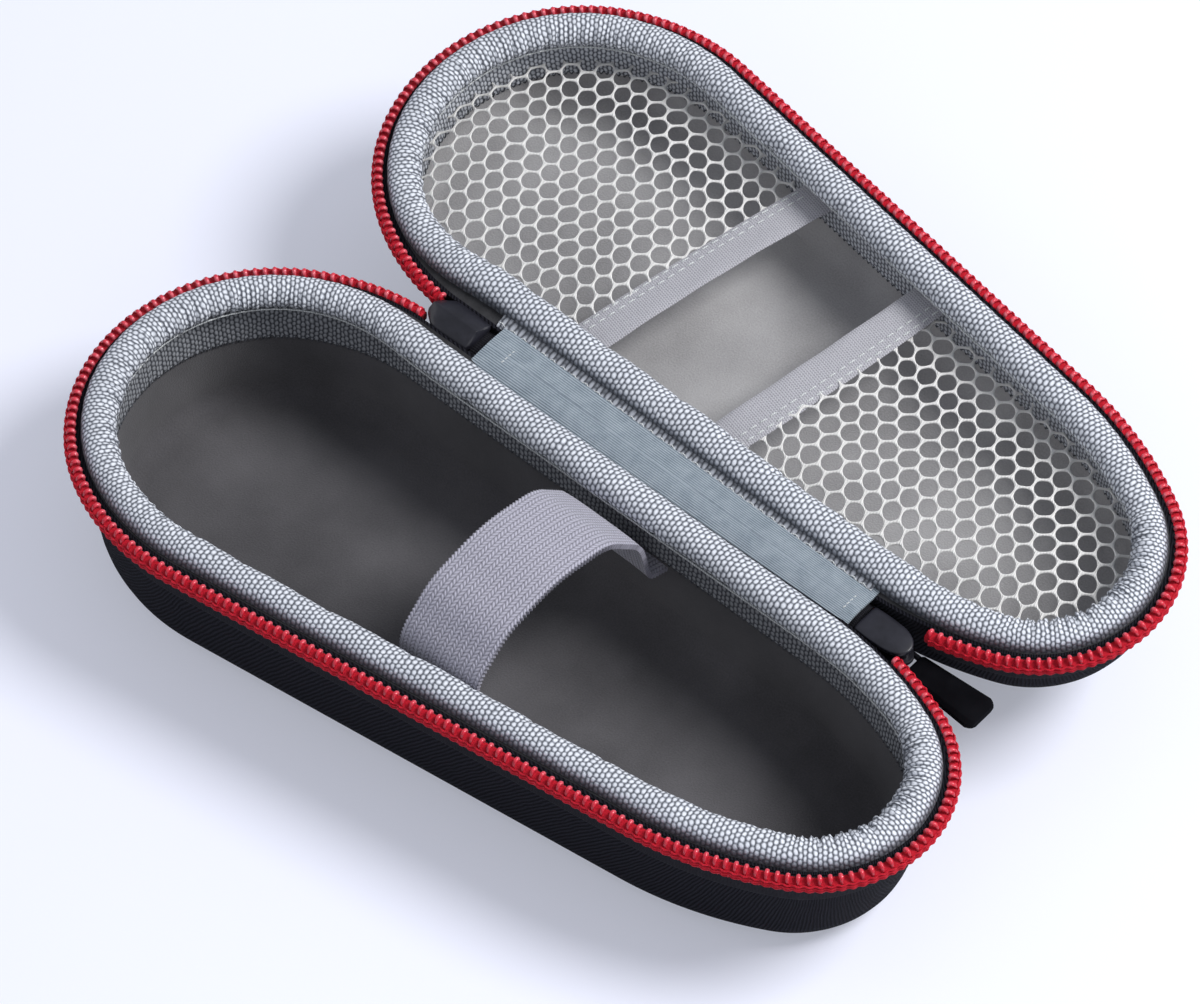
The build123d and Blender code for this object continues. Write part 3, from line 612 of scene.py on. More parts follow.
# %% [markdown]
# The padded rim is a foam roll in a mesh skin. A round sweep would look like a pipe: the real
# roll stands on the wall's edge, leans inwards, and tucks back under itself. Its section is drawn
# as points from the photograph's silhouette, smoothed, and carried round the outline. Where the
# rim turns, the mesh has too much length on the inside of the bend, so it gathers in small
# pleats. On the straights it is pulled tight, and a few shallow creases slant across it. Along
# the hinge the roll stands further in, and elsewhere its outer foot is tucked in from the chain.

# %% Places round the rim
def at_run(run):
    """Places and inward directions on the zip line, at lengths that may pass its start."""
    run = np.asarray(run) % rim_length
    spot, way = [
        np.stack([np.interp(run, along_rim, line[:, k]) for k in (0, 1)], 1)
        for line in (closed_zip, closed_inward)
    ]
    return spot, unit(way)

GATHER_FROM, GATHER_FULL = 0.008, 0.022

def ring_stations(spacing):
    """Even stations round the rim: place, inward direction, length, and share of the pleats."""
    run = np.linspace(0, rim_length, round(rim_length / spacing) + 1)
    spot, way = at_run(run)
    heading = np.unwrap(np.arctan2(way[:, 1], way[:, 0]))
    bend = np.abs(np.gradient(heading, run))[:-1]
    gather = np.clip((bend - GATHER_FROM) / (GATHER_FULL - GATHER_FROM), 0, 1)
    return spot[:-1], way[:-1], run, gather

HINGE_SIDE = (-84, 88)

def near_hinge(half, spot, rise, fall):
    """1 beside the hinge and 0 away from it; it grows over rise and shrinks over fall."""
    x, y = spot[:, 0], at_hinge_side(half) * spot[:, 1]
    grown, left = (x - HINGE_SIDE[0]) / rise, (HINGE_SIDE[1] - x) / fall
    return np.clip(grown, 0, 1) * np.clip(left, 0, 1) * (y > 0)

def hinge_shift(half, spot):
    """How far the roll stands in from its edge along the hinge: most near the head's slider."""
    share = near_hinge(half, spot, 40, 30)
    most = {"base": (2.2, 0.9), "lid": (3.4, 1.5)}[half]
    return share**2 * (3 - 2 * share) * np.interp(spot[:, 0], [-60, 70], most)

def tucked(half, spot, inset):
    """Away from the hinge the roll's outer foot stands in from the chain, so a dark gap shows."""
    most = {"base": (0.3, 1.0, 1.0, 0.55), "lid": (0.3, 0.55, 0.55, 0.8)}[half]
    most = np.interp(spot[:, 0], [-104, -70, 50, 100], most)
    return most * (1 - near_hinge(half, spot, 30, 25)) * np.clip((5.2 - inset) / 3.4, 0, 1)

# %% The padded roll, its pleats and its creases
ROLL_OVER = [(1.4, 0.5), (1.85, 2.3), (3.3, 3.7), (5.7, 4.3), (8.1, 3.65), (9.5, 1.6)]
ROLL_UNDER = [(8.95, -0.6), (7.1, -1.85), (6.3, -1.5), (5.75, -0.4), (5.2, 0.65), (3.0, 0.5)]
PLEAT_PITCH, CREASE_PITCH, CREASE_DEPTH = 3.5, 17.5, {"base": 0.34, "lid": 0.5}

def section_normals(section):
    """Directions that point out of a closed section at each of its points."""
    tangent = np.roll(section, -1, 0) - np.roll(section, 1, 0)
    outward = unit(np.stack([-tangent[:, 1], tangent[:, 0]], 1))
    return outward * np.sign(((section - section.mean(0)) * outward).sum())

def rolled_rim(name, half):
    section = smooth_line(ROLL_OVER + ROLL_UNDER + ROLL_OVER[:1], 46)[:-1]
    spot, way, run, gather = ring_stations(0.42)
    length = run[:-1]
    gather = np.concatenate([gather[-12:], gather, gather[:12]])
    gather = np.convolve(gather, np.ones(25) / 25, "valid")
    shift = hinge_shift(half, spot)
    profile = lengths_along(np.concatenate([section, section[:1]]))
    inside = np.clip((section[:, 0] - 3.0) / 5.0, 0, 1) * (profile[:-1] < profile[-1] * 0.75)
    rows = []
    for k, (point, normal) in enumerate(zip(section, section_normals(section))):
        drift = wobble(length, (41, 1.8, 0.4), (17, 1.1, 2.0))
        phase = TURN * length / PLEAT_PITCH + drift + 0.3 * point[0]
        fold = 0.5 * np.abs(np.sin(phase / 2)) ** 0.7 + 0.16 * np.sin(2.3 * phase + 1) - 0.3
        pleat = gather * inside[k] * (1 + 0.5 * (spot[:, 0] > 0)) * fold
        soft = inside[k] * wobble(length, (19.7, 0.1, 0.16 * k), (61, 0.14, 1.1))
        soft = soft + 0.04 * wobble(length, (5.3, 1, 0.5 * k))
        slant = length + 0.6 * profile[k] + wobble(length, (73, 3.0, 0.7), (31, 1.3, 2.1))
        valley = np.exp(-(np.sin(math.pi * slant / CREASE_PITCH) / 0.17) ** 2)
        crease = CREASE_DEPTH[half] * inside[k] * valley * (1 - 0.7 * gather)
        push = pleat + soft - 0.12 * inside[k] * gather - crease
        rise = 0.15 * shift * (half == "lid") * np.clip(point[1], 0, 1)
        inset = point[0] + normal[0] * push + shift + tucked(half, spot, point[0])
        rows.append(place(half, spot + way * inset[:, None], point[1] + normal[1] * push + rise))
    return skin(name, rows + rows[:1], [cloth_row(run, v) for v in profile])

for half in HALVES:
    roll = rolled_rim(half + "_padded_rim", half)
    finish_piece(roll, MESH, half, "grey_mesh", half + "_binding", half + "_rim_foam")
    wall_top = tuple(place(half, [[0, 0]], WALL_TOP)[0] / 1000)
    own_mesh(roll)

# %% [markdown]
# Below the roll the same mesh runs down the inner wall as a flat trim. Its colour is painted darker
# as shade, the most in the deep half. It follows the wall's section, a little proud of the velour,
# and it ripples faintly where the rim turns.

# %% Inner trim
TRIM_TOP, TRIM_BOTTOM, TRIM_DEPTH = -1.2, -12.0, 10.8
TRIM_BACK, TRIM_FACE, TRIM_BULGE, FRONT_ROWS = 5.3, 6.15, 0.25, 14

def trim_rows(half):
    spot, way, run, gather = ring_stations(0.8)
    down, up = np.linspace(TRIM_TOP, TRIM_BOTTOM, FRONT_ROWS), np.linspace(TRIM_BOTTOM, TRIM_TOP, 5)
    rows, cloth = [], []
    for k, z in enumerate(np.concatenate([down, up])):
        front = k < FRONT_ROWS
        bulge = TRIM_BULGE * math.sin(math.pi * min(1, (TRIM_TOP - z) / TRIM_DEPTH))
        layer = (TRIM_FACE + bulge if front else TRIM_BACK) - WALL_INSET
        ripple = 0.14 * gather * np.sin(TURN * run[:-1] / 3.1 + 0.4 * z) * front
        flat = spot + way * (wall_inset(z, layer) + ripple)[:, None] + raked(spot, z)
        rows.append(place(half, flat, z))
        cloth.append(cloth_row(run, 14 - z))
    return rows + rows[:1], cloth + cloth[:1]

for half in HALVES:
    trim = skin(half + "_inner_trim", *trim_rows(half))
    finish_piece(trim, INNER_MESH[half], half, "grey_mesh", half + "_wall_trim")

# %% [markdown]
# A zip chain looks complicated, but it is one small shape repeated. Each tooth is a short loop of
# red plastic that arches over the edge, and three threads and a slanted stitch for every tooth sew
# the loops down the outside. So one loop is lofted, placed at every pitch round the rim with one
# array operation, and the threads are tubes that swell out at each loop. A red cord fills the
# space behind them, and the black tape below is a flat strip down the wall.

# %% Where the chain runs
def chain_run(half):
    """Start and end of the chain as lengths round the rim, missing the hinge stretch."""
    run = np.linspace(0, rim_length, 4001)[:-1]
    x, y = at_run(run)[0].T * [[1], [at_hinge_side(half)]]
    along = x * math.cos(TAPER) - y * math.sin(TAPER)
    hinge = run[(y > 0) & (along > CHAIN_ENDS[0]) & (along < CHAIN_ENDS[1])]
    return hinge.max(), hinge.min() + rim_length

def rim_strip(name, half, section, spacing):
    """A closed section carried along the chain's run; section points are (inset, height)."""
    start, end = chain_run(half)
    run = np.linspace(start, end, round((end - start) / spacing))
    spot, way = at_run(run)
    section = np.asarray(section, float)
    rows = [place(half, spot + way * inset + raked(spot, z), z) for inset, z in section]
    cloth = [cloth_row(run, v) for v in lengths_along(section)]
    return skin(name, rows, cloth, closed=False, fill=True)

# %% Zip tape
def tape_section():
    face = [(wall_inset(z, -0.72), z) for z in np.linspace(0.2, -9.0, 9)]
    hem = [(wall_inset(z, layer), z) for z, layer in ((-9.4, -0.62), (-9.6, -0.3), (-9.5, 0.05))]
    hidden = [(wall_inset(z, 0.08), z) for z in (-6.0, -2.0, 0.3)]
    return face + hem + hidden + face[:1]

for half in HALVES:
    tape = rim_strip(half + "_black_tape", half, tape_section(), 1.6)
    finish_piece(tape, KNIT, half, "black_tape", half + "_zip_tape")

# %% Red finishes of the chain
def red_plastic():
    red = Finish("red_teeth", 0.36, coat=0.2, specular=0.5)
    speckle = red.noise(0.9, 2)
    # Painted highlight, partly real: the tooth's rising side and top (small v) are painted paler
    # pink, partly the plastic's lighter tip and partly a painted highlight.
    tip = red.v.remap(smooth=False, from_min=4.4, from_max=2.2)
    tone = tip * 0.7 + speckle * 0.3
    reds = [(0.1, (0.4, 0.006, 0.018)), (0.5, (0.6, 0.014, 0.036)), (0.78, (0.68, 0.06, 0.09))]
    return red.done(red.ramp(tone, reds + [(1.0, (0.8, 0.24, 0.29))]), speckle, 0.05)

def red_thread():
    thread = Finish("red_thread", 0.7, sheen=0.05, specular=0.2)
    ply = (thread.u + thread.v * 2.0).wave(0.45)
    tone = ply * 0.6 + thread.noise(1.1, 2) * 0.4
    reds = [(0.15, (0.26, 0.002, 0.008)), (0.6, (0.62, 0.005, 0.022)), (1.0, (0.76, 0.014, 0.04))]
    return thread.done(thread.ramp(tone, reds), ply, 0.12)

RED_TEETH, RED_THREAD = red_plastic(), red_thread()
print("reds", RED_TEETH.name, RED_THREAD.name)

# %% Shapes that repeat along the chain
TOOTH_PITCH, TOOTH_RINGS, TOOTH_SIDES, CLOTH_STEP = 2.1, 15, 8, 0.4
LOOP_RISES = [(0.6, 0.1), (0.65, 0.8), (0.35, 1.3)]
LOOP_FALLS = [(-0.25, 1.38), (-0.72, 1.0), (-0.95, 0.45), (-1.0, 0.1)]

def tooth_rings():
    """One tooth: rings of (along, inset, height) round the loop's line."""
    line = smooth_line(LOOP_RISES + LOOP_FALLS, TOOTH_RINGS)
    heading = unit(np.gradient(line, axis=0))
    normal = np.stack([-heading[:, 1], heading[:, 0]], 1)
    angle = np.arange(TOOTH_SIDES) * TURN / TOOTH_SIDES
    sizes = [0.3, 0.42, 0.46, 0.48, 0.48, 0.26]
    size = np.interp(np.arange(TOOTH_RINGS), [0, 2, 4, 6, 8, 14], sizes)[:, None]
    rings = np.zeros((TOOTH_RINGS, TOOTH_SIDES, 3))
    rings[..., 0] = size * np.cos(angle)
    rings[..., 1:] = line[:, None] + normal[:, None] * (0.8 * size * np.sin(angle))[..., None]
    return rings

def put_on_rim(half, run, local):
    """Places local[(..., along, inset, height)] at each length round the rim."""
    spot, way = at_run(run)
    ahead = np.stack([way[:, 1], -way[:, 0]], 1)
    shape = (len(run),) + (1,) * (local.ndim - 1) + (2,)
    spot, way, ahead = spot.reshape(shape), way.reshape(shape), ahead.reshape(shape)
    flat = spot + ahead * local[None, ..., :1] + way * local[None, ..., 1:2]
    return place(half, flat, local[None, ..., 2])

def repeated_rings(name, half, run, rings):
    """Many copies of one loft of rings, as one mesh with its own cloth coordinates."""
    count, steps = rings.shape[:2]
    one = loft_faces(count, steps)
    corners = np.array([index for face in one for index in face])
    faces = [[index + k * count * steps for index in face] for k in range(len(run)) for face in one]
    uv = np.tile(np.stack([corners % steps, corners // steps], 1) * CLOTH_STEP, (len(run), 1))
    uv[:, 0] += np.repeat(np.arange(len(run)) * 3.7, len(corners))
    return mesh_piece(name, put_on_rim(half, run, rings).reshape(-1, 3), faces, uv)

def sewn_line(half, height, inset_high, inset_low, radius):
    """A thread round the outside that swells out at every tooth and sinks in between them."""
    start, end = chain_run(half)
    count = int((end - start) / TOOTH_PITCH)
    run = start + np.linspace(0, count, count * 6 + 1) * TOOTH_PITCH
    phase = TURN * (run - start) / TOOTH_PITCH
    spot, way = at_run(run)
    inset = inset_low + (inset_high - inset_low) * (0.5 + 0.5 * np.cos(phase))
    return tube(place(half, spot + way * inset[:, None], height + 0.12 * np.sin(phase)), radius)

# %% Cord, teeth and sewing
CORD_OUTSIDE = [(0.75, 0.3), (-0.7, 0.35), (-1.12, 0.05), (-1.2, -0.8), (-1.08, -1.8), (-0.9, -2.0)]
CORD = CORD_OUTSIDE + [(0.6, -2.0), (0.75, 0.3)]
SEWN_LINES = ((-0.05, -1.5, -1.16, 0.24), (-0.68, -1.58, -1.26, 0.27), (-1.35, -1.55, -1.2, 0.27))
FRINGE = [(0.0, -0.95, -1.5), (-0.25, -0.8, -2.1), (-0.6, -0.25, -2.65), (-0.95, 0.45, -3.05)]
FRINGE_RADII = [0.3, 0.36, 0.34, 0.16]
for half in HALVES:
    start, end = chain_run(half)
    run = start + np.arange(int((end - start) / TOOTH_PITCH) + 1) * TOOTH_PITCH
    cord = rim_strip(half + "_chain_cord", half, CORD, 1.2)
    finish_piece(cord, RED_THREAD, half, "red_zip", half + "_zip_teeth")
    teeth = repeated_rings(half + "_chain_teeth", half, run, tooth_rings())
    finish_piece(teeth, RED_TEETH, half, "red_zip", half + "_zip_teeth")
    between = run[:-1] + TOOTH_PITCH / 2
    slanted = [tube(line, FRINGE_RADII) for line in put_on_rim(half, between, np.array(FRINGE))]
    threads = [sewn_line(half, *line) for line in SEWN_LINES] + slanted
    sewing = gather_pieces(half + "_chain_stitches", threads)
    finish_piece(sewing, RED_THREAD, half, "red_zip", half + "_zip_teeth")

# %% [markdown]
# The holding strap is a knitted elastic, 21 mm wide. It rises steeply from the front wall, lies
# over where the shaver's body would be, and dives down at the hinge side. Its line is a
# polyline with a different rounding at each corner, as the solid's is. Twenty-one fine ribs run
# along it and its edges are little loops, so both are made in the mesh, and only the stitches
# between the ribs are left to the material.

# %% The strap's line and its elastic
STRAP_CENTRE, STRAP_WIDTH, STRAP_THICKNESS, STRAP_RIBS = 4.8, 21.0, 1.2, 21
front = -HALF_GAP - MIDDLE_HALF_WIDTH * (1 + 1 / math.cos(2 * TAPER))
front += STRAP_CENTRE * math.tan(2 * TAPER)
FRONT_CORNERS = [(front + y, z) for y, z in ((4.5, -14.5), (11.0, -12.2), (12.2, 1.5), (21.0, 9.8))]
HINGE_CORNERS = [(-43.5, 13.4), (-28.0, 10.6), (-18.2, 1.0), (-15.2, -12.2), (-8.5, -14.5)]
STRAP_RADII = [3.5, 9.0, 14.0, 30.0, 12.0, 11.0, 3.5]

def filleted(corners, radii, spacing):
    """Points along a polyline whose inner corners are rounded with these radii."""
    corners = np.asarray(corners, float)
    line = [corners[0]]
    for before, corner, after, radius in zip(corners, corners[1:], corners[2:], radii):
        a, b = unit(before - corner), unit(after - corner)
        half_angle = math.acos(np.clip(a.dot(b), -1, 1)) / 2
        centre = corner + unit(a + b) * radius / math.sin(half_angle)
        reach = radius / math.tan(half_angle)
        first, last = corner + a * reach - centre, corner + b * reach - centre
        line += [centre + unit(first * (1 - t) + last * t) * radius for t in np.linspace(0, 1, 16)]
    line = np.array(line + [corners[-1]])
    run = lengths_along(line)
    even = np.linspace(0, run[-1], round(run[-1] / spacing))
    return np.stack([np.interp(even, run, line[:, k]) for k in (0, 1)], 1), even

def elastic(name, dark, pale, rib=1.0, stitch=0.95, depth=0.16):
    knit = Finish(name, 0.72, sheen=0.3, specular=0.3)
    half_rib = knit.u.wave(rib)
    lean = knit.u.of("PINGPONG", rib) * 0.9
    loops = (knit.v + lean).wave(stitch)
    height = (0.35 + half_rib * 0.65) * (0.45 + loops * 0.55)
    tone = height * 0.75 + knit.noise(1.7, 3) * 0.38
    return knit.done(knit.ramp(tone, [(0.12, dark), (0.8, pale)]), height, depth)

LILAC = elastic("lilac_elastic", (0.035, 0.033, 0.045), (0.43, 0.42, 0.5), depth=0.3)
print("elastic", LILAC.name)

# %% The strap
def strap_section():
    """The strap's section: ribs over a back that thins towards the edges."""
    over = np.linspace(-0.5, 0.5, 127)
    under = over[::-6]
    middle = STRAP_THICKNESS / 2 - 0.1
    ribs = 0.12 * np.abs(np.sin(np.pi * over * STRAP_RIBS))
    top = np.stack([over * STRAP_WIDTH, middle + ribs - 1.1 * np.abs(over) ** 4 * 4], 1)
    back = np.stack([under * STRAP_WIDTH, -middle - 1.1 * np.abs(under) ** 4 * 4], 1)
    return np.concatenate([top, back])

line, strap_run = filleted(FRONT_CORNERS + HINGE_CORNERS, STRAP_RADII, 0.45)
across, height = strap_section().T
edge = np.sign(across) * np.clip(np.abs(across) / (STRAP_WIDTH / 2) - 0.96, 0, 1) * 25
rows, cloth = [], []
for k, ((y, z), (hy, hz)) in enumerate(zip(line, unit(np.gradient(line, axis=0)))):
    x = STRAP_CENTRE + across + edge * (0.2 if k % 2 else -0.2)
    rows.append(np.stack([x, y - hz * height, RIM_HEIGHT + z + hy * height], 1))
    cloth.append(cloth_row(np.append(across, across[0]) + STRAP_WIDTH / 2, strap_run[k]))
strap = skin("holding_strap", rows, cloth, fill=True)
finish_piece(strap, LILAC, "base", "lilac_elastic", "strap")
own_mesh(strap)
print("strap", round(strap_run[-1]), "mm long")

# %% [markdown]
# The hinge is a satin ribbon sewn over a black strip, and it joins the two halves. Its long
# edges lie over the edges of the two walls and go under the rolls, and it narrows and sinks a
# little towards the foot. As it crosses two fold axes, it is made as two strips that meet in the
# middle, one on the base's side and one on the lid's. In the open case nobody can see where they
# meet.

# %% Satin and pale thread
def satin():
    cloth = Finish("satin", 0.42, sheen=0.15, specular=0.45)
    cloth.shader.inputs["Anisotropic"].default_value = 0.3
    cord = cloth.v.wave(0.56)
    weft = cloth.u.wave(0.2)
    slub = cloth.noise(0.25, 4, roughness=0.6)
    tone = cord * 0.45 + (slub * 0.5 + weft * 0.05)
    blues = [(0.15, (0.06, 0.085, 0.115)), (0.5, (0.22, 0.27, 0.315)), (0.95, (0.43, 0.48, 0.53))]
    return cloth.done(cloth.ramp(tone, blues), cord, 0.14)

def pale_thread():
    thread = Finish("pale_thread", 0.6, sheen=0.2)
    ply = (thread.u + thread.v).wave(0.5)
    greys = [(0.0, (0.3, 0.32, 0.33)), (1.0, (0.72, 0.74, 0.74))]
    return thread.done(thread.ramp(ply, greys), ply, 0.06)

SATIN, PALE_THREAD = satin(), pale_thread()
print("finishes", SATIN.name, PALE_THREAD.name)

# %% Satin ribbon and black strip
RIBBON_ENDS, STRIP_ENDS = (-45.0, 59.2), (-47.9, 59.6)
NARROWS, SINKS = 0.78, 0.93
RIBBON_SECTION = {
    "base": [(7.2, 1.75), (5.9, 2.1), (4.6, 2.3), (2.4, 2.6), (0.0, 2.75), (-0.15, 2.75)],
    "lid": [(8.7, 2.75), (6.6, 2.68), (4.6, 2.65), (2.3, 2.72), (0.0, 2.75), (-0.15, 2.75)],
}
STRIP_SECTION = {
    "base": [(5.3, -1.5), (4.6, -0.5), (3.4, 0.25), (1.8, 0.95), (0.0, 1.15)],
    "lid": [(5.3, -0.6), (4.6, 0.0), (3.4, 0.6), (1.8, 1.0), (0.0, 1.15)],
}

def hinge_strip(name, ends, section, thickness, sign):
    """Half of a strip over the hinge: section is (across, height), from outside to the middle."""
    line = smooth_line(section, 14) * (sign, 1)
    x = np.linspace(*ends, 150)
    narrow, tall = [np.interp(x, [-40, 60], [1.0, least]) for least in (NARROWS, SINKS)]
    droop = 0.16 * np.exp(-np.minimum(x - ends[0], ends[1] - x) / 1.6)
    top = [(*row, 0.0) for row in zip(line, lengths_along(line))]
    under = [(*row, thickness) for row in zip(line[::-1], lengths_along(line)[::-1])]
    rows, cloth = [], []
    for (a, height), length, below in top + under:
        ripple = 0.06 * np.sin(x / 7.3 + 1.2 * sign) * math.sin(math.pi * min(abs(a) / 5, 1))
        rows.append(hinge_place(x, a * narrow, height * tall - below - droop + ripple))
        cloth.append(cloth_row(x, length * sign))
    return skin(name, rows + rows[:1], cloth + cloth[:1], closed=False, fill=True)

def over_hinge(made, sign):
    """Bakes half a strip's placement into its mesh, the same on either side."""
    outer, inner = hinge_place(0, sign * 4.7, 0) / 1000, hinge_place(0, sign * 2.5, 0) / 1000
    if sign < 0:
        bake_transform(made)
    else:
        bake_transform(made)

for half, sign in (("base", -1), ("lid", 1)):
    ribbon = hinge_strip(f"satin_ribbon_{half}_side", RIBBON_ENDS, RIBBON_SECTION[half], 0.5, sign)
    over_hinge(finish_piece(ribbon, SATIN, None, "blue_ribbon", "hinge_ribbon"), sign)
    strip = hinge_strip(f"black_strip_{half}_side", STRIP_ENDS, STRIP_SECTION[half], 0.6, sign)
    over_hinge(finish_piece(strip, KNIT, None, "black_tape", "hinge_cover"), sign)

# %% Ribbon stitches and tape ends
STITCH_ALONG, STITCH_ACROSS = np.array([-0.12, 0, 0.1, 0]), np.array([-0.42, -0.2, 0.2, 0.42])
STITCH_HEIGHTS = np.array([2.44, 2.8, 2.8, 2.44])
stitches = []
for x, tall in ((RIBBON_ENDS[0] + 5.8, 1.0), (RIBBON_ENDS[1] - 3.0, SINKS)):
    for a in np.arange(-1.65, 1.7, 1.1):
        over = a + STITCH_ACROSS
        line = hinge_place(x + STITCH_ALONG, over, STITCH_HEIGHTS * tall - 0.02 * over**2)
        stitches.append(tube(line, [0.09, 0.15, 0.15, 0.09]))
sewing = gather_pieces("ribbon_sewing", stitches)
finish_piece(sewing, PALE_THREAD, "hinge", "grey_thread", "ribbon_stitches")

TAIL_TOP = [(-2.6, -0.75), (-1.5, -0.62), (0, -0.6), (1.5, -0.62), (2.6, -0.75)]
TAIL_UNDER = [(2.6, -1.2), (0, -1.3), (-2.6, -1.2), (-2.6, -0.75)]
for end, start_x, way in (("head", STRIP_ENDS[0], -1), ("foot", STRIP_ENDS[1], 1)):
    x = np.linspace(start_x - 3 * way, start_x + 6 * way, 16)
    section = smooth_line(TAIL_TOP + TAIL_UNDER, 26)
    rows = [hinge_place(x, a, height) for a, height in section]
    cloth = [cloth_row(x, 0.4 * k) for k in range(len(section))]
    tail = skin(end + "_tape_tail", rows, cloth, closed=False, fill=True)
    finish_piece(tail, KNIT, "hinge", "black_tape", end + "_tape_end")

# %% [markdown]
# Each zip slider is a small casting with black enamel: an upper plate, a lower plate, two side
# flanges, a wedge that parts the chain, and a bridge for the pull. The head's upper plate has a
# ridge like a roof, which matters, because it catches a line of light, and the foot's is a low
# dome. So a plate is built from rings that step in from its edge and climb, instead of being
# extruded flat.

# %% Black enamel and rubber
def enamel():
    paint = Finish("black_enamel", 0.4, coat=0.12, specular=0.4)
    peel = paint.noise(900, 3, paint.room)
    rubbed = paint.noise(160, 4, paint.room, roughness=0.65)
    colour = paint.ramp(rubbed, [(0.35, (0.008, 0.008, 0.012)), (0.7, (0.018, 0.018, 0.026))])
    return paint.done(colour, peel, 0.03, rubbed.remap(smooth=False, to_min=0.3, to_max=0.48))

def rubber():
    grip = Finish("black_rubber", 0.8, specular=0.04)
    grain = grip.noise(1500, 3, grip.room)
    blacks = [(0.3, (0.002, 0.002, 0.003)), (0.7, (0.006, 0.006, 0.008))]
    return grip.done(grip.ramp(grip.noise(120, 3, grip.room), blacks), grain, 0.06)

ENAMEL, RUBBER = enamel(), rubber()
print("finishes", ENAMEL.name, RUBBER.name)

# %% Parts of a slider
SLIDER_LENGTH, SLIDER_WIDTH = 12.2, 7.2
SLIDER_CENTRE = {"head": -54.2, "foot": 66.0}
PLATE_TOP, PLATE, CHANNEL = 0.45, 0.95, 2.4
LOWER_TOP = PLATE_TOP - PLATE - CHANNEL
PIVOT = LOWER_TOP - PLATE - 0.85
HEAD_EDGE = [(-1.5, 1.12), (2.4, 1.12), (3.6, 1.06), (5.8, 0.6), (6.4, 0.36)]

def slider_edge(end):
    """Square at the ribbon; the head's narrows to cut corners, the foot's to a round nose."""
    back_x, wide = -SLIDER_LENGTH / 2, SLIDER_WIDTH / 2
    if end == "head":
        shares = [(back_x + 0.3, 1.06)] + HEAD_EDGE
        side = [(x, -wide * share) for x, share in shares] + [(6.5, -0.5)]
    else:
        angle = np.linspace(-math.pi / 2, -0.12, 12)
        side = [(back_x + 0.3, -wide), (-3.0, -wide * 1.04), (-0.5, -wide * 1.04)]
        side += [(1.0 + 5.8 * math.cos(t), wide * 1.02 * math.sin(t)) for t in angle]
    other = [(x, -y) for x, y in side[::-1]] + [(back_x, wide * 0.8), (back_x, 0.0)]
    return np.array([(back_x, -wide * 0.8)] + side + other) * (-1 if end == "head" else 1, 1)

def plate(centre, edge, low, high, ridge, dome=False):
    """A plate with rounded edges that rises to a ridge along its middle, or to a smooth dome."""
    def ring(shrink, height, roof):
        x = centre + edge[:, 0] * (1 - (0.7 if dome else 0.1) * shrink)
        return hinge_place(x, edge[:, 1] * (1 - shrink), height + roof)
    soft = 0.2 if high > low else -0.2
    steps = [(0.5, low, 0), (0.06, low, 0), (0.0, low + soft, 0), (0.0, high - soft, 0)]
    steps.append((0.05, high, 0))
    for shrink in (0.15, 0.3, 0.45, 0.6, 0.75, 0.88, 0.97):
        steps.append((shrink, high, ridge * (1 - (1 - shrink) ** 2 if dome else shrink)))
    return lofted([ring(*step) for step in steps])

def flange(x, a, low, high, soft=0.1):
    """A block between two places x and two places a, with softened edges."""
    (x0, x1), (a0, a1) = sorted(x), sorted(a)
    def ring(grow, height):
        left, right, near, far = x0 - grow, x1 + grow, a0 - grow, a1 + grow
        ring_x = [left + soft, right - soft, right, right, right - soft, left + soft, left, left]
        ring_a = [near, near, near + soft, far - soft, far, far, far - soft, near + soft]
        return hinge_place(np.array(ring_x), np.array(ring_a), height)
    return lofted([ring(-soft, low), ring(0, low + soft), ring(0, high - soft), ring(-soft, high)])

def soften(made, width, segments, angle):
    """A bevel along the edges that are sharper than an angle."""
    bevel = made.modifiers.new("soft_edges", "BEVEL")
    bevel.width, bevel.segments = width / 1000, segments
    bevel.limit_method, bevel.angle_limit = "ANGLE", math.radians(angle)
    return made

ARCH = [(-4.0, 0.3), (-3.95, -0.9), (-3.3, -1.75), (-2.2, -2.1), (0, -2.15)]
BRIDGE_A = np.array([-1.2, -0.95, 0.95, 1.2, 1.2, 0.95, -0.95, -1.2])
BRIDGE_T = np.array([-0.25, -0.45, -0.45, -0.25, 0.25, 0.45, 0.45, 0.25])

def bridge(centre):
    """The flat arch under the lower plate that holds the pull."""
    arch = smooth_line(ARCH + [(-x, height) for x, height in ARCH[-2::-1]], 25)
    foot = LOWER_TOP - PLATE
    return lofted([
        hinge_place(centre + x - hh * BRIDGE_T, BRIDGE_A, foot + height + hx * BRIDGE_T)
        for (x, height), (hx, hh) in zip(arch, unit(np.gradient(arch, axis=0)))
    ])

# %% Sliders
SLIDER_SHAPE = {"head": (-1, 1.8, (1.08, 1.04), 1.5), "foot": (1, 0.3, (0.97, 0.97), 0.35)}
for end, (way, lift, grown, ridge) in SLIDER_SHAPE.items():
    centre, edge, top = SLIDER_CENTRE[end], slider_edge(end), PLATE_TOP + lift
    low, high = LOWER_TOP - 0.3, top - 0.9
    reach = (centre - way * SLIDER_LENGTH * 0.48, centre + way * SLIDER_LENGTH * 0.02)
    angle = np.linspace(0, TURN, 25)[:-1]
    wedge_x, wedge_a = centre + way * 3.7 + 2.0 * np.cos(angle), 1.4 * np.sin(angle)
    slider = gather_pieces(end + "_slider_casting", [
        plate(centre, edge * grown, top - 1.25, top, ridge, end == "foot"),
        plate(centre, edge, LOWER_TOP, LOWER_TOP - PLATE, -0.1),
        flange(reach, (-3.55, -2.9), low, high),
        flange(reach, (3.55, 2.9), low, high),
        lofted([hinge_place(wedge_x, wedge_a, height) for height in (low, high)]),
        bridge(centre),
    ])
    soften(weld(slider), 0.09, 2, 28)
    finish_piece(slider, ENAMEL, "hinge", "black_enamel", end + "_slider")

# %% [markdown]
# A pull is a bent wire loop with a moulded rubber grip. The foot's pull lies straight out beyond
# its slider and the head's hangs down. One function makes both along any direction, so they
# can't differ. The wire's corners are round because wire can't bend sharply, and the grip swells
# a little towards its end, with a chamfered end edge.

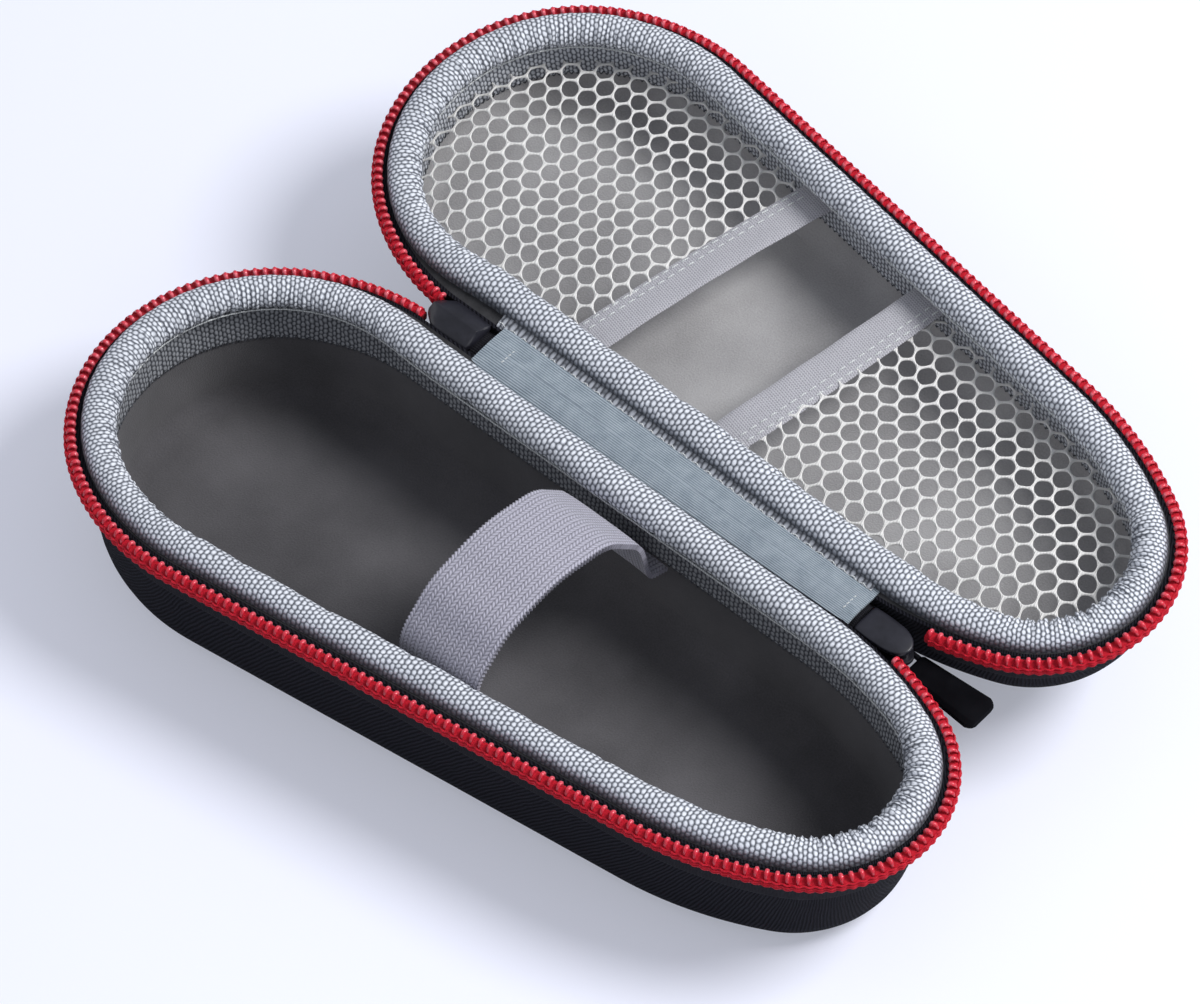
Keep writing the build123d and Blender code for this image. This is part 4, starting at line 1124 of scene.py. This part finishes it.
# %% Pulls
HALF_WIRE = [(9.5, -2.0), (6.5, -2.3), (1.3, -2.35), (0.25, -2.1), (0, -1.2)]
WIRE = smooth_line(HALF_WIRE + [(x, -a) for x, a in HALF_WIRE[::-1]], 60)
GRIP_START, GRIP_SWELLS, GRIP_END = 7.2, 17.2, 26.0
GRIP_WIDTHS, GRIP_HALF_THICK, CHAMFER = (3.1, 4.2), 1.4, 0.72
GRIP_STATIONS = [
    (7.2, 0.86, 0.6), (7.35, 0.95, 0.85), (7.8, 1.0, 1.0), (12, 1.0, 1.0), (20, 1.0, 1.0),
    (24.4, 1.0, 1.0), (25.2, 0.9, 0.97), (25.75, 0.8, 0.85), (26.0, 0.72, 0.6),
]
GRIP_A = np.array([-1, -1, -CHAMFER, 0, CHAMFER, 1, 1, CHAMFER, 0, -CHAMFER])
GRIP_H = np.array([-0.45, 0.45, 1.0, 1.0, 1.0, 0.45, -0.45, -1.0, -1.0, -1.0])

def pull(end, along):
    pivot = hinge_middle + hinge_up * PIVOT + np.array([SLIDER_CENTRE[end], 0, 0])
    face = np.cross(along, across_hinge)

    def spot(x, a, h):
        x, a, h = np.broadcast_arrays(np.asarray(x, float), a, h)
        return pivot + x[..., None] * along + a[..., None] * across_hinge + h[..., None] * face

    loop = gather_pieces(end + "_pull_wire", [tube(spot(*WIRE.T, 0), 0.62, 12)])
    finish_piece(loop, ENAMEL, end + "_pull", "black_enamel", end + "_pull_loop")
    rings = []
    for x, wide, thick in GRIP_STATIONS:
        swell = (GRIP_WIDTHS[1] - GRIP_WIDTHS[0]) * (x - GRIP_START) / GRIP_SWELLS
        hollow = 1 - 0.1 * math.sin(math.pi * (x - GRIP_START) / (GRIP_END - GRIP_START))
        half_width, half_thick = (GRIP_WIDTHS[0] + swell) * wide, GRIP_HALF_THICK * thick * hollow
        rings.append(spot(x, GRIP_A * half_width, GRIP_H * half_thick))
    grip = soften(weld(gather_pieces(end + "_pull_grip_moulding", [lofted(rings)])), 0.35, 3, 25)
    finish_piece(grip, RUBBER, end + "_pull", "black_rubber", end + "_pull_grip")

pull("head", -hinge_up)
pull("foot", np.array([1.0, 0, 0]))

# %% [markdown]
# Threads finish the mesh. A pale thread in shallow scallops runs where the roll meets the trim,
# and the lid has another along the hinge, on the lower edge of the roll's outer leg beside the
# ribbon. The trim's lower edge is overlocked in small dark loops. They are thin, but each catches
# light as a line, so they are tubes. At the hinge the binding's outer leg shows, because no zip
# chain covers it there.

# %% Shapes of the threads and the outer leg
SCALLOP_PITCH, OVERLOCK_PITCH = 3.1, 1.6
LEG_OUTSIDE = [(4.0, 1.5), (3.2, 1.75), (2.3, 1.65), (1.55, 1.2), (1.2, 0.6), (1.1, -0.6)]
LEG = LEG_OUTSIDE + [(1.5, -0.6), (1.7, 0.4), (2.6, 0.9), (4.0, 0.9), (4.0, 1.5)]

def dark_thread():
    thread = Finish("dark_thread", 0.75, specular=0.2)
    greys = [(0.3, (0.03, 0.032, 0.038)), (0.7, (0.12, 0.125, 0.14))]
    return thread.done(thread.ramp(thread.noise(1.3, 3), greys))

def scallop(half, run, inset, height, fall, deep, radius, share=1.0):
    """A wavy thread along the rim: it swings deep millimetres along fall at every pitch."""
    spot, way = at_run(run)
    swing = deep * np.abs(np.sin(math.pi * run / SCALLOP_PITCH + wobble(run, (29, 0.6, 0.0))))
    inset = inset + fall[0] * swing + share * hinge_shift(half, spot)
    return tube(place(half, spot + way * inset[:, None], height + fall[1] * swing), radius)

def overlock(half, inset, height):
    """Small slanted loops over an edge that runs round the whole rim."""
    run = np.arange(0, rim_length, 0.25)
    spot, way = at_run(run)
    phase = TURN * run / OVERLOCK_PITCH
    flat = spot + way * (inset + 0.15 * np.cos(phase))[:, None] + raked(spot, height)
    return tube(place(half, flat, height + 0.5 * np.sin(phase)), 0.16, 5)

def outer_leg(half, run):
    """The binding's outer leg along the hinge; it follows the roll's shift, its top the most."""
    leg = smooth_line(LEG, 34)
    spot, way = at_run(run)
    shift = hinge_shift(half, spot)
    low = 0.9 if half == "base" else 0.0
    rows = []
    for inset, height in leg:
        inset = inset + shift * min(1, max(0, inset / 1.9 - 0.45))
        rows.append(place(half, spot + way * inset[:, None], height - low))
    cloth = [cloth_row(run, v) for v in lengths_along(leg)]
    return skin(half + "_outer_leg", rows, cloth, closed=False, fill=True)

DARK_THREAD = dark_thread()
print("finish", DARK_THREAD.name)

# %% Threads and the outer leg
for half in HALVES:
    start, end = chain_run(half)
    at_hinge = np.arange(end - rim_length + 15, start - 14, 0.45)
    round_rim = np.arange(0, rim_length, 0.5)
    seams = [scallop(half, round_rim, 9.0, -0.95, (-0.55, -0.8), 0.8, 0.17)]
    if half == "lid":
        seams.append(scallop(half, at_hinge, 1.62, 1.32, (-0.5, -0.65), 0.55, 0.13, 0.38))
    threads = gather_pieces(half + "_seam_threads", seams)
    finish_piece(threads, PALE_THREAD, half, "grey_thread", half + "_wall_trim")
    edge = gather_pieces(half + "_trim_overlock", [overlock(half, 6.1 + 12 * SLOPE, TRIM_BOTTOM)])
    finish_piece(edge, DARK_THREAD, half, "grey_thread", half + "_wall_trim")
    leg = outer_leg(half, at_hinge)
    finish_piece(leg, INNER_MESH[half], half, "grey_mesh", half + "_binding")

# %% [markdown]
# The lid holds two pockets of white hexagon mesh. A wireframe of a grid would give straight,
# sharp-cornered cells; the real holes are rounded, because the mesh is knitted. So each cell is
# made as a ring between its six-sided border and a rounded hole. The border is the crest of the
# strand and the hole's edge is low, which makes each strand round where two cells meet.

# %% Where the pockets lie
BAND_WIDTH, NET_DEPTH = 9.0, 6.0
POCKETS = {"head": ((-32.0, -20.5), -1), "foot": ((7.0, 16.8), 1)}
BAND_REACH = (16.0, 67.0)
EDGE_CLEARANCE = 0.8
EDGE_INSET = WALL_INSET + WALL + EDGE_CLEARANCE + NET_DEPTH * SLOPE

def square_to_own(flat):
    """From x along the hinge and y away from it to the lid's own turned plane."""
    x, y = flat[..., 0], flat[..., 1] - MIDDLE_HALF_WIDTH
    c, s = math.cos(TAPER), math.sin(TAPER)
    return np.stack([x * c - y * s, x * s + y * c], -1)

def band_frame(pocket):
    """Middle of a band, its two directions, and the sign of the side where its net lies."""
    (near_x, far_x), side = POCKETS[pocket]
    near, far = np.array([near_x, BAND_REACH[0]]), np.array([far_x, BAND_REACH[1]])
    along = unit(far - near)
    return (near + far) / 2, along, np.array([along[1], -along[0]]), side

def keep_inside(flat, inset):
    """Moves points that lie past the wall's face onto it, and tells how far in each lies."""
    own = square_to_own(flat)
    edge = outline(inset, NET_DEPTH)
    way = unit(outline(inset + 1.0, NET_DEPTH) - edge)
    shape = own.shape
    own = own.reshape(-1, 2)
    near = np.array([np.argmin(((edge - p) ** 2).sum(1)) for p in own])
    depth = ((own - edge[near]) * way[near]).sum(1)
    own = np.where(depth[:, None] < 0, edge[near], own)
    return own.reshape(shape), depth.reshape(shape[:-1])

# %% White hexagon mesh
def white_yarn():
    yarn = Finish("white_net", 0.62, sheen=0.15, specular=0.4)
    twist = (yarn.u + yarn.v * 1.4).wave(0.5)
    tone = twist * 0.5 + yarn.noise(0.8, 3) * 0.5
    whites = [(0.15, (0.6, 0.58, 0.56)), (0.6, (0.82, 0.81, 0.79))]
    return yarn.done(yarn.ramp(tone, whites), twist, 0.1)

WHITE_NET = white_yarn()
ROW_PITCH, ROW_STEP, STRAND = 4.9, 3.95, 0.29
ROW_ANGLE = math.radians(-48.0)
row = np.array([math.cos(ROW_ANGLE), math.sin(ROW_ANGLE)])
rise = np.array([-row[1], row[0]])
CELL_STEPS, HOLE_POWER = 30, 2.4
SHELF = ((0.0, 1.0), (0.65, 0.8), (1.0, 0.0), (0.65, -0.8), (0.0, -1.0))

def cell_rings():
    """Rings of a cell from its six-sided border to its rounded hole and back, and their lifts."""
    corners = [(0.5, 1 / 3), (0, 2 / 3), (-0.5, 1 / 3), (-0.5, -1 / 3), (0, -2 / 3), (0.5, -1 / 3)]
    corners = np.array(corners) * (ROW_PITCH, ROW_STEP)
    sides = zip(corners, np.roll(corners, -1, 0))
    border = np.concatenate([np.linspace(p, q, CELL_STEPS // 6, endpoint=False) for p, q in sides])
    reach = np.linalg.norm(border, axis=1)
    way = border / reach[:, None]
    hole_size = (ROW_PITCH / 2 - STRAND, ROW_STEP * 0.575 - STRAND)
    soft = 1 / ((np.abs(way / hole_size) ** HOLE_POWER).sum(1)) ** (1 / HOLE_POWER)
    hole = way * np.minimum(soft, reach - STRAND * 0.9)[:, None]
    return [(border * (1 - share) + hole * share, lift) for share, lift in SHELF]

def slack(spots):
    """Pulls places in the net a little out of line, as a knitted net never hangs even."""
    turned = spots[:, ::-1]
    swayed = spots + 0.5 * np.sin(turned / 7.0 + (0.6, 2.0))
    return swayed + 0.28 * np.sin(turned / 3.1 + spots / 5.7)

def net_cell(flat, lifts):
    """A cell's rings on the net, which bulges up inside and sinks to the trim at its edge."""
    rings = []
    for spots, lift in zip(flat, lifts):
        own, depth = keep_inside(spots, EDGE_INSET - 0.5)
        ripple = 1 + 0.5 * np.sin(own[:, 0] / 9 + own[:, 1] / 13)
        swell = 0.9 * np.clip(depth / 16, 0, 1) * ripple
        sink = 2.0 * np.exp(-np.maximum(depth, 0) / 4.5)
        rings.append(place("lid", own, -NET_DEPTH - 0.3 + 0.3 * lift + swell - sink))
    return rings

def net_centres(pocket):
    """Middles of the cells that may lie in a pocket, row after row."""
    middle, _, across_band, side = band_frame(pocket)
    for j in range(-40, 41):
        for i in range(-40, 41):
            centre = middle + row * ROW_PITCH * (i + 0.5 * (j % 2)) + rise * ROW_STEP * j
            past = (centre - middle).dot(across_band) * side
            if -0.5 <= past <= 110 and -4 < centre[1] < 2 * MIDDLE_HALF_WIDTH + 4:
                yield centre

def pocket_net(pocket):
    shelf = cell_rings()
    quads = grid(len(shelf) - 1, CELL_STEPS, CELL_STEPS)[-1]
    points, faces, rims, count = [], [], {}, 0
    for centre in net_centres(pocket):
        flat = [slack(centre + ring[:, :1] * row + ring[:, 1:] * rise) for ring, lift in shelf]
        depth = keep_inside(flat[0], EDGE_INSET - 0.5)[1]
        if (depth < 0).all() or (depth > 0).sum() < 4:
            continue
        rings = net_cell(flat, [lift for ring, lift in shelf])
        points += rings
        for k in range(CELL_STEPS):
            after = (k + 1) % CELL_STEPS
            key = tuple(np.round((rings[0][k] + rings[0][after]) / 2, 1))
            rims.setdefault(key, []).append((count + k, count + after))
        faces += (quads + count).tolist()
        count += len(shelf) * CELL_STEPS
    under = (len(shelf) - 1) * CELL_STEPS
    for (first, last), *others in rims.values():
        if not others:
            faces.append([last, first, first + under, last + under])
    verts = np.concatenate(points)
    uv = [verts[index][:2] for polygon in faces for index in polygon]
    made = mesh_piece(pocket + "_net", verts, faces, uv)
    work = bmesh.new()
    work.from_mesh(made.data)
    bmesh.ops.remove_doubles(work, verts=work.verts, dist=3e-5)
    bmesh.ops.dissolve_degenerate(work, dist=2e-5, edges=work.edges)
    bmesh.ops.recalc_face_normals(work, faces=work.faces)
    area = sum(face.calc_area() for face in work.faces) / 2
    work.to_mesh(made.data)
    work.free()
    return made, area

for pocket in POCKETS:
    net, area = pocket_net(pocket)
    length = float(np.ptp([v.co[0] for v in net.data.vertices]))
    finish_piece(net, WHITE_NET, "lid", "white_net", pocket + "_pocket_net")
    print(pocket, "net,", round(length * 1000), "mm long, cloth", round(area * 1e6), "mm2")

# %% [markdown]
# Each net ends in a 9 mm elastic band that keeps the pocket's mouth shut. It runs from wall to
# wall a little above the net. Fine ribs run across it, its free edge is slightly waved from
# being gathered, and two rows of machine stitches hold the net under it. The ribs and stitches
# are what the eye reads as elastic, so the stitches are small real tubes.

# %% Pocket bands
GREY_ELASTIC = elastic("grey_elastic", (0.1, 0.098, 0.112), (0.44, 0.435, 0.47), 0.56, 0.62, 0.1)
BAND_LIFT, BAND_BOW, BAND_SAG = 0.75, 0.6, 0.9

def band_ends(pocket, share):
    """Lengths along a band's line where it reaches the wall on either side."""
    middle, along, across_band, _ = band_frame(pocket)
    reach = np.linspace(-60, 60, 481)
    flat = middle + across_band * share * BAND_WIDTH + reach[:, None] * along
    inside = reach[keep_inside(flat, EDGE_INSET - 0.4)[1] > 0]
    return inside.min(), inside.max()

def band_line(pocket, share, run, low, high):
    """A lengthwise line of a band that bows towards its net, and how it rises in its middle."""
    middle, along, across_band, side = band_frame(pocket)
    arch = 1 - (2 * (run - low) / (high - low) - 1) ** 2
    flat = middle + run[:, None] * along + across_band * (share * BAND_WIDTH)
    flat = flat + across_band * (side * BAND_BOW * arch)[:, None]
    return flat, BAND_SAG * arch * (0.35 - share * side)

def pocket_band(pocket):
    side = POCKETS[pocket][1]
    rows, cloth = [], []
    for layer in (1, -1):
        for share in np.linspace(-0.5, 0.5, 30)[::layer]:
            low, high = band_ends(pocket, share)
            run = np.linspace(low, high, 150)
            ripple = 0.1 * np.sin(run / 2.3 + 4 * share) * max(0.0, -share * side * 2)
            crown = 0.5 * layer * (1 - (2 * abs(share)) ** 6) + 0.12 * layer
            flat, sag = band_line(pocket, share, run, low, high)
            own = keep_inside(flat, EDGE_INSET - 0.4)[0]
            rows.append(place("lid", own, -NET_DEPTH + BAND_LIFT + crown + ripple + sag))
            cloth.append(cloth_row(run, share * BAND_WIDTH))
    rows, cloth = rows + rows[:1], cloth + cloth[:1]
    return skin(pocket + "_elastic_band", rows, cloth, closed=False, fill=True)

for pocket in POCKETS:
    low, high = band_ends(pocket, 0.0)
    print(pocket, "band,", round(float(high - low), 1), "mm from wall to wall")

# %% The bands and the stitches along them
STITCH_ROWS, STITCH_PITCH = (1.0, 2.8), 2.6
STITCH_RUN, STITCH_LIE = np.array([-0.1, 0.25, 1.45, 1.8]), np.array([-0.1, 0.14, 0.14, -0.1])

def band_stitches(pocket):
    threads = []
    for inset in STITCH_ROWS:
        share = POCKETS[pocket][1] * (0.5 - inset / BAND_WIDTH)
        low, high = band_ends(pocket, share)
        top = -NET_DEPTH + BAND_LIFT + 0.62 * (1 - (2 * abs(share)) ** 6)
        for at in np.arange(low + 1.5, high - 2.5, STITCH_PITCH):
            flat, sag = band_line(pocket, share, at + STITCH_RUN, low, high)
            line = place("lid", square_to_own(flat), top + sag + STITCH_LIE)
            threads.append(tube(line, [0.1, 0.17, 0.17, 0.1]))
    return gather_pieces(pocket + "_band_sewing", threads)

for pocket in POCKETS:
    finish_piece(pocket_band(pocket), GREY_ELASTIC, "lid", "grey_elastic", pocket + "_pocket_band")
    sewing = band_stitches(pocket)
    finish_piece(sewing, PALE_THREAD, "lid", "grey_thread", pocket + "_band_stitches")
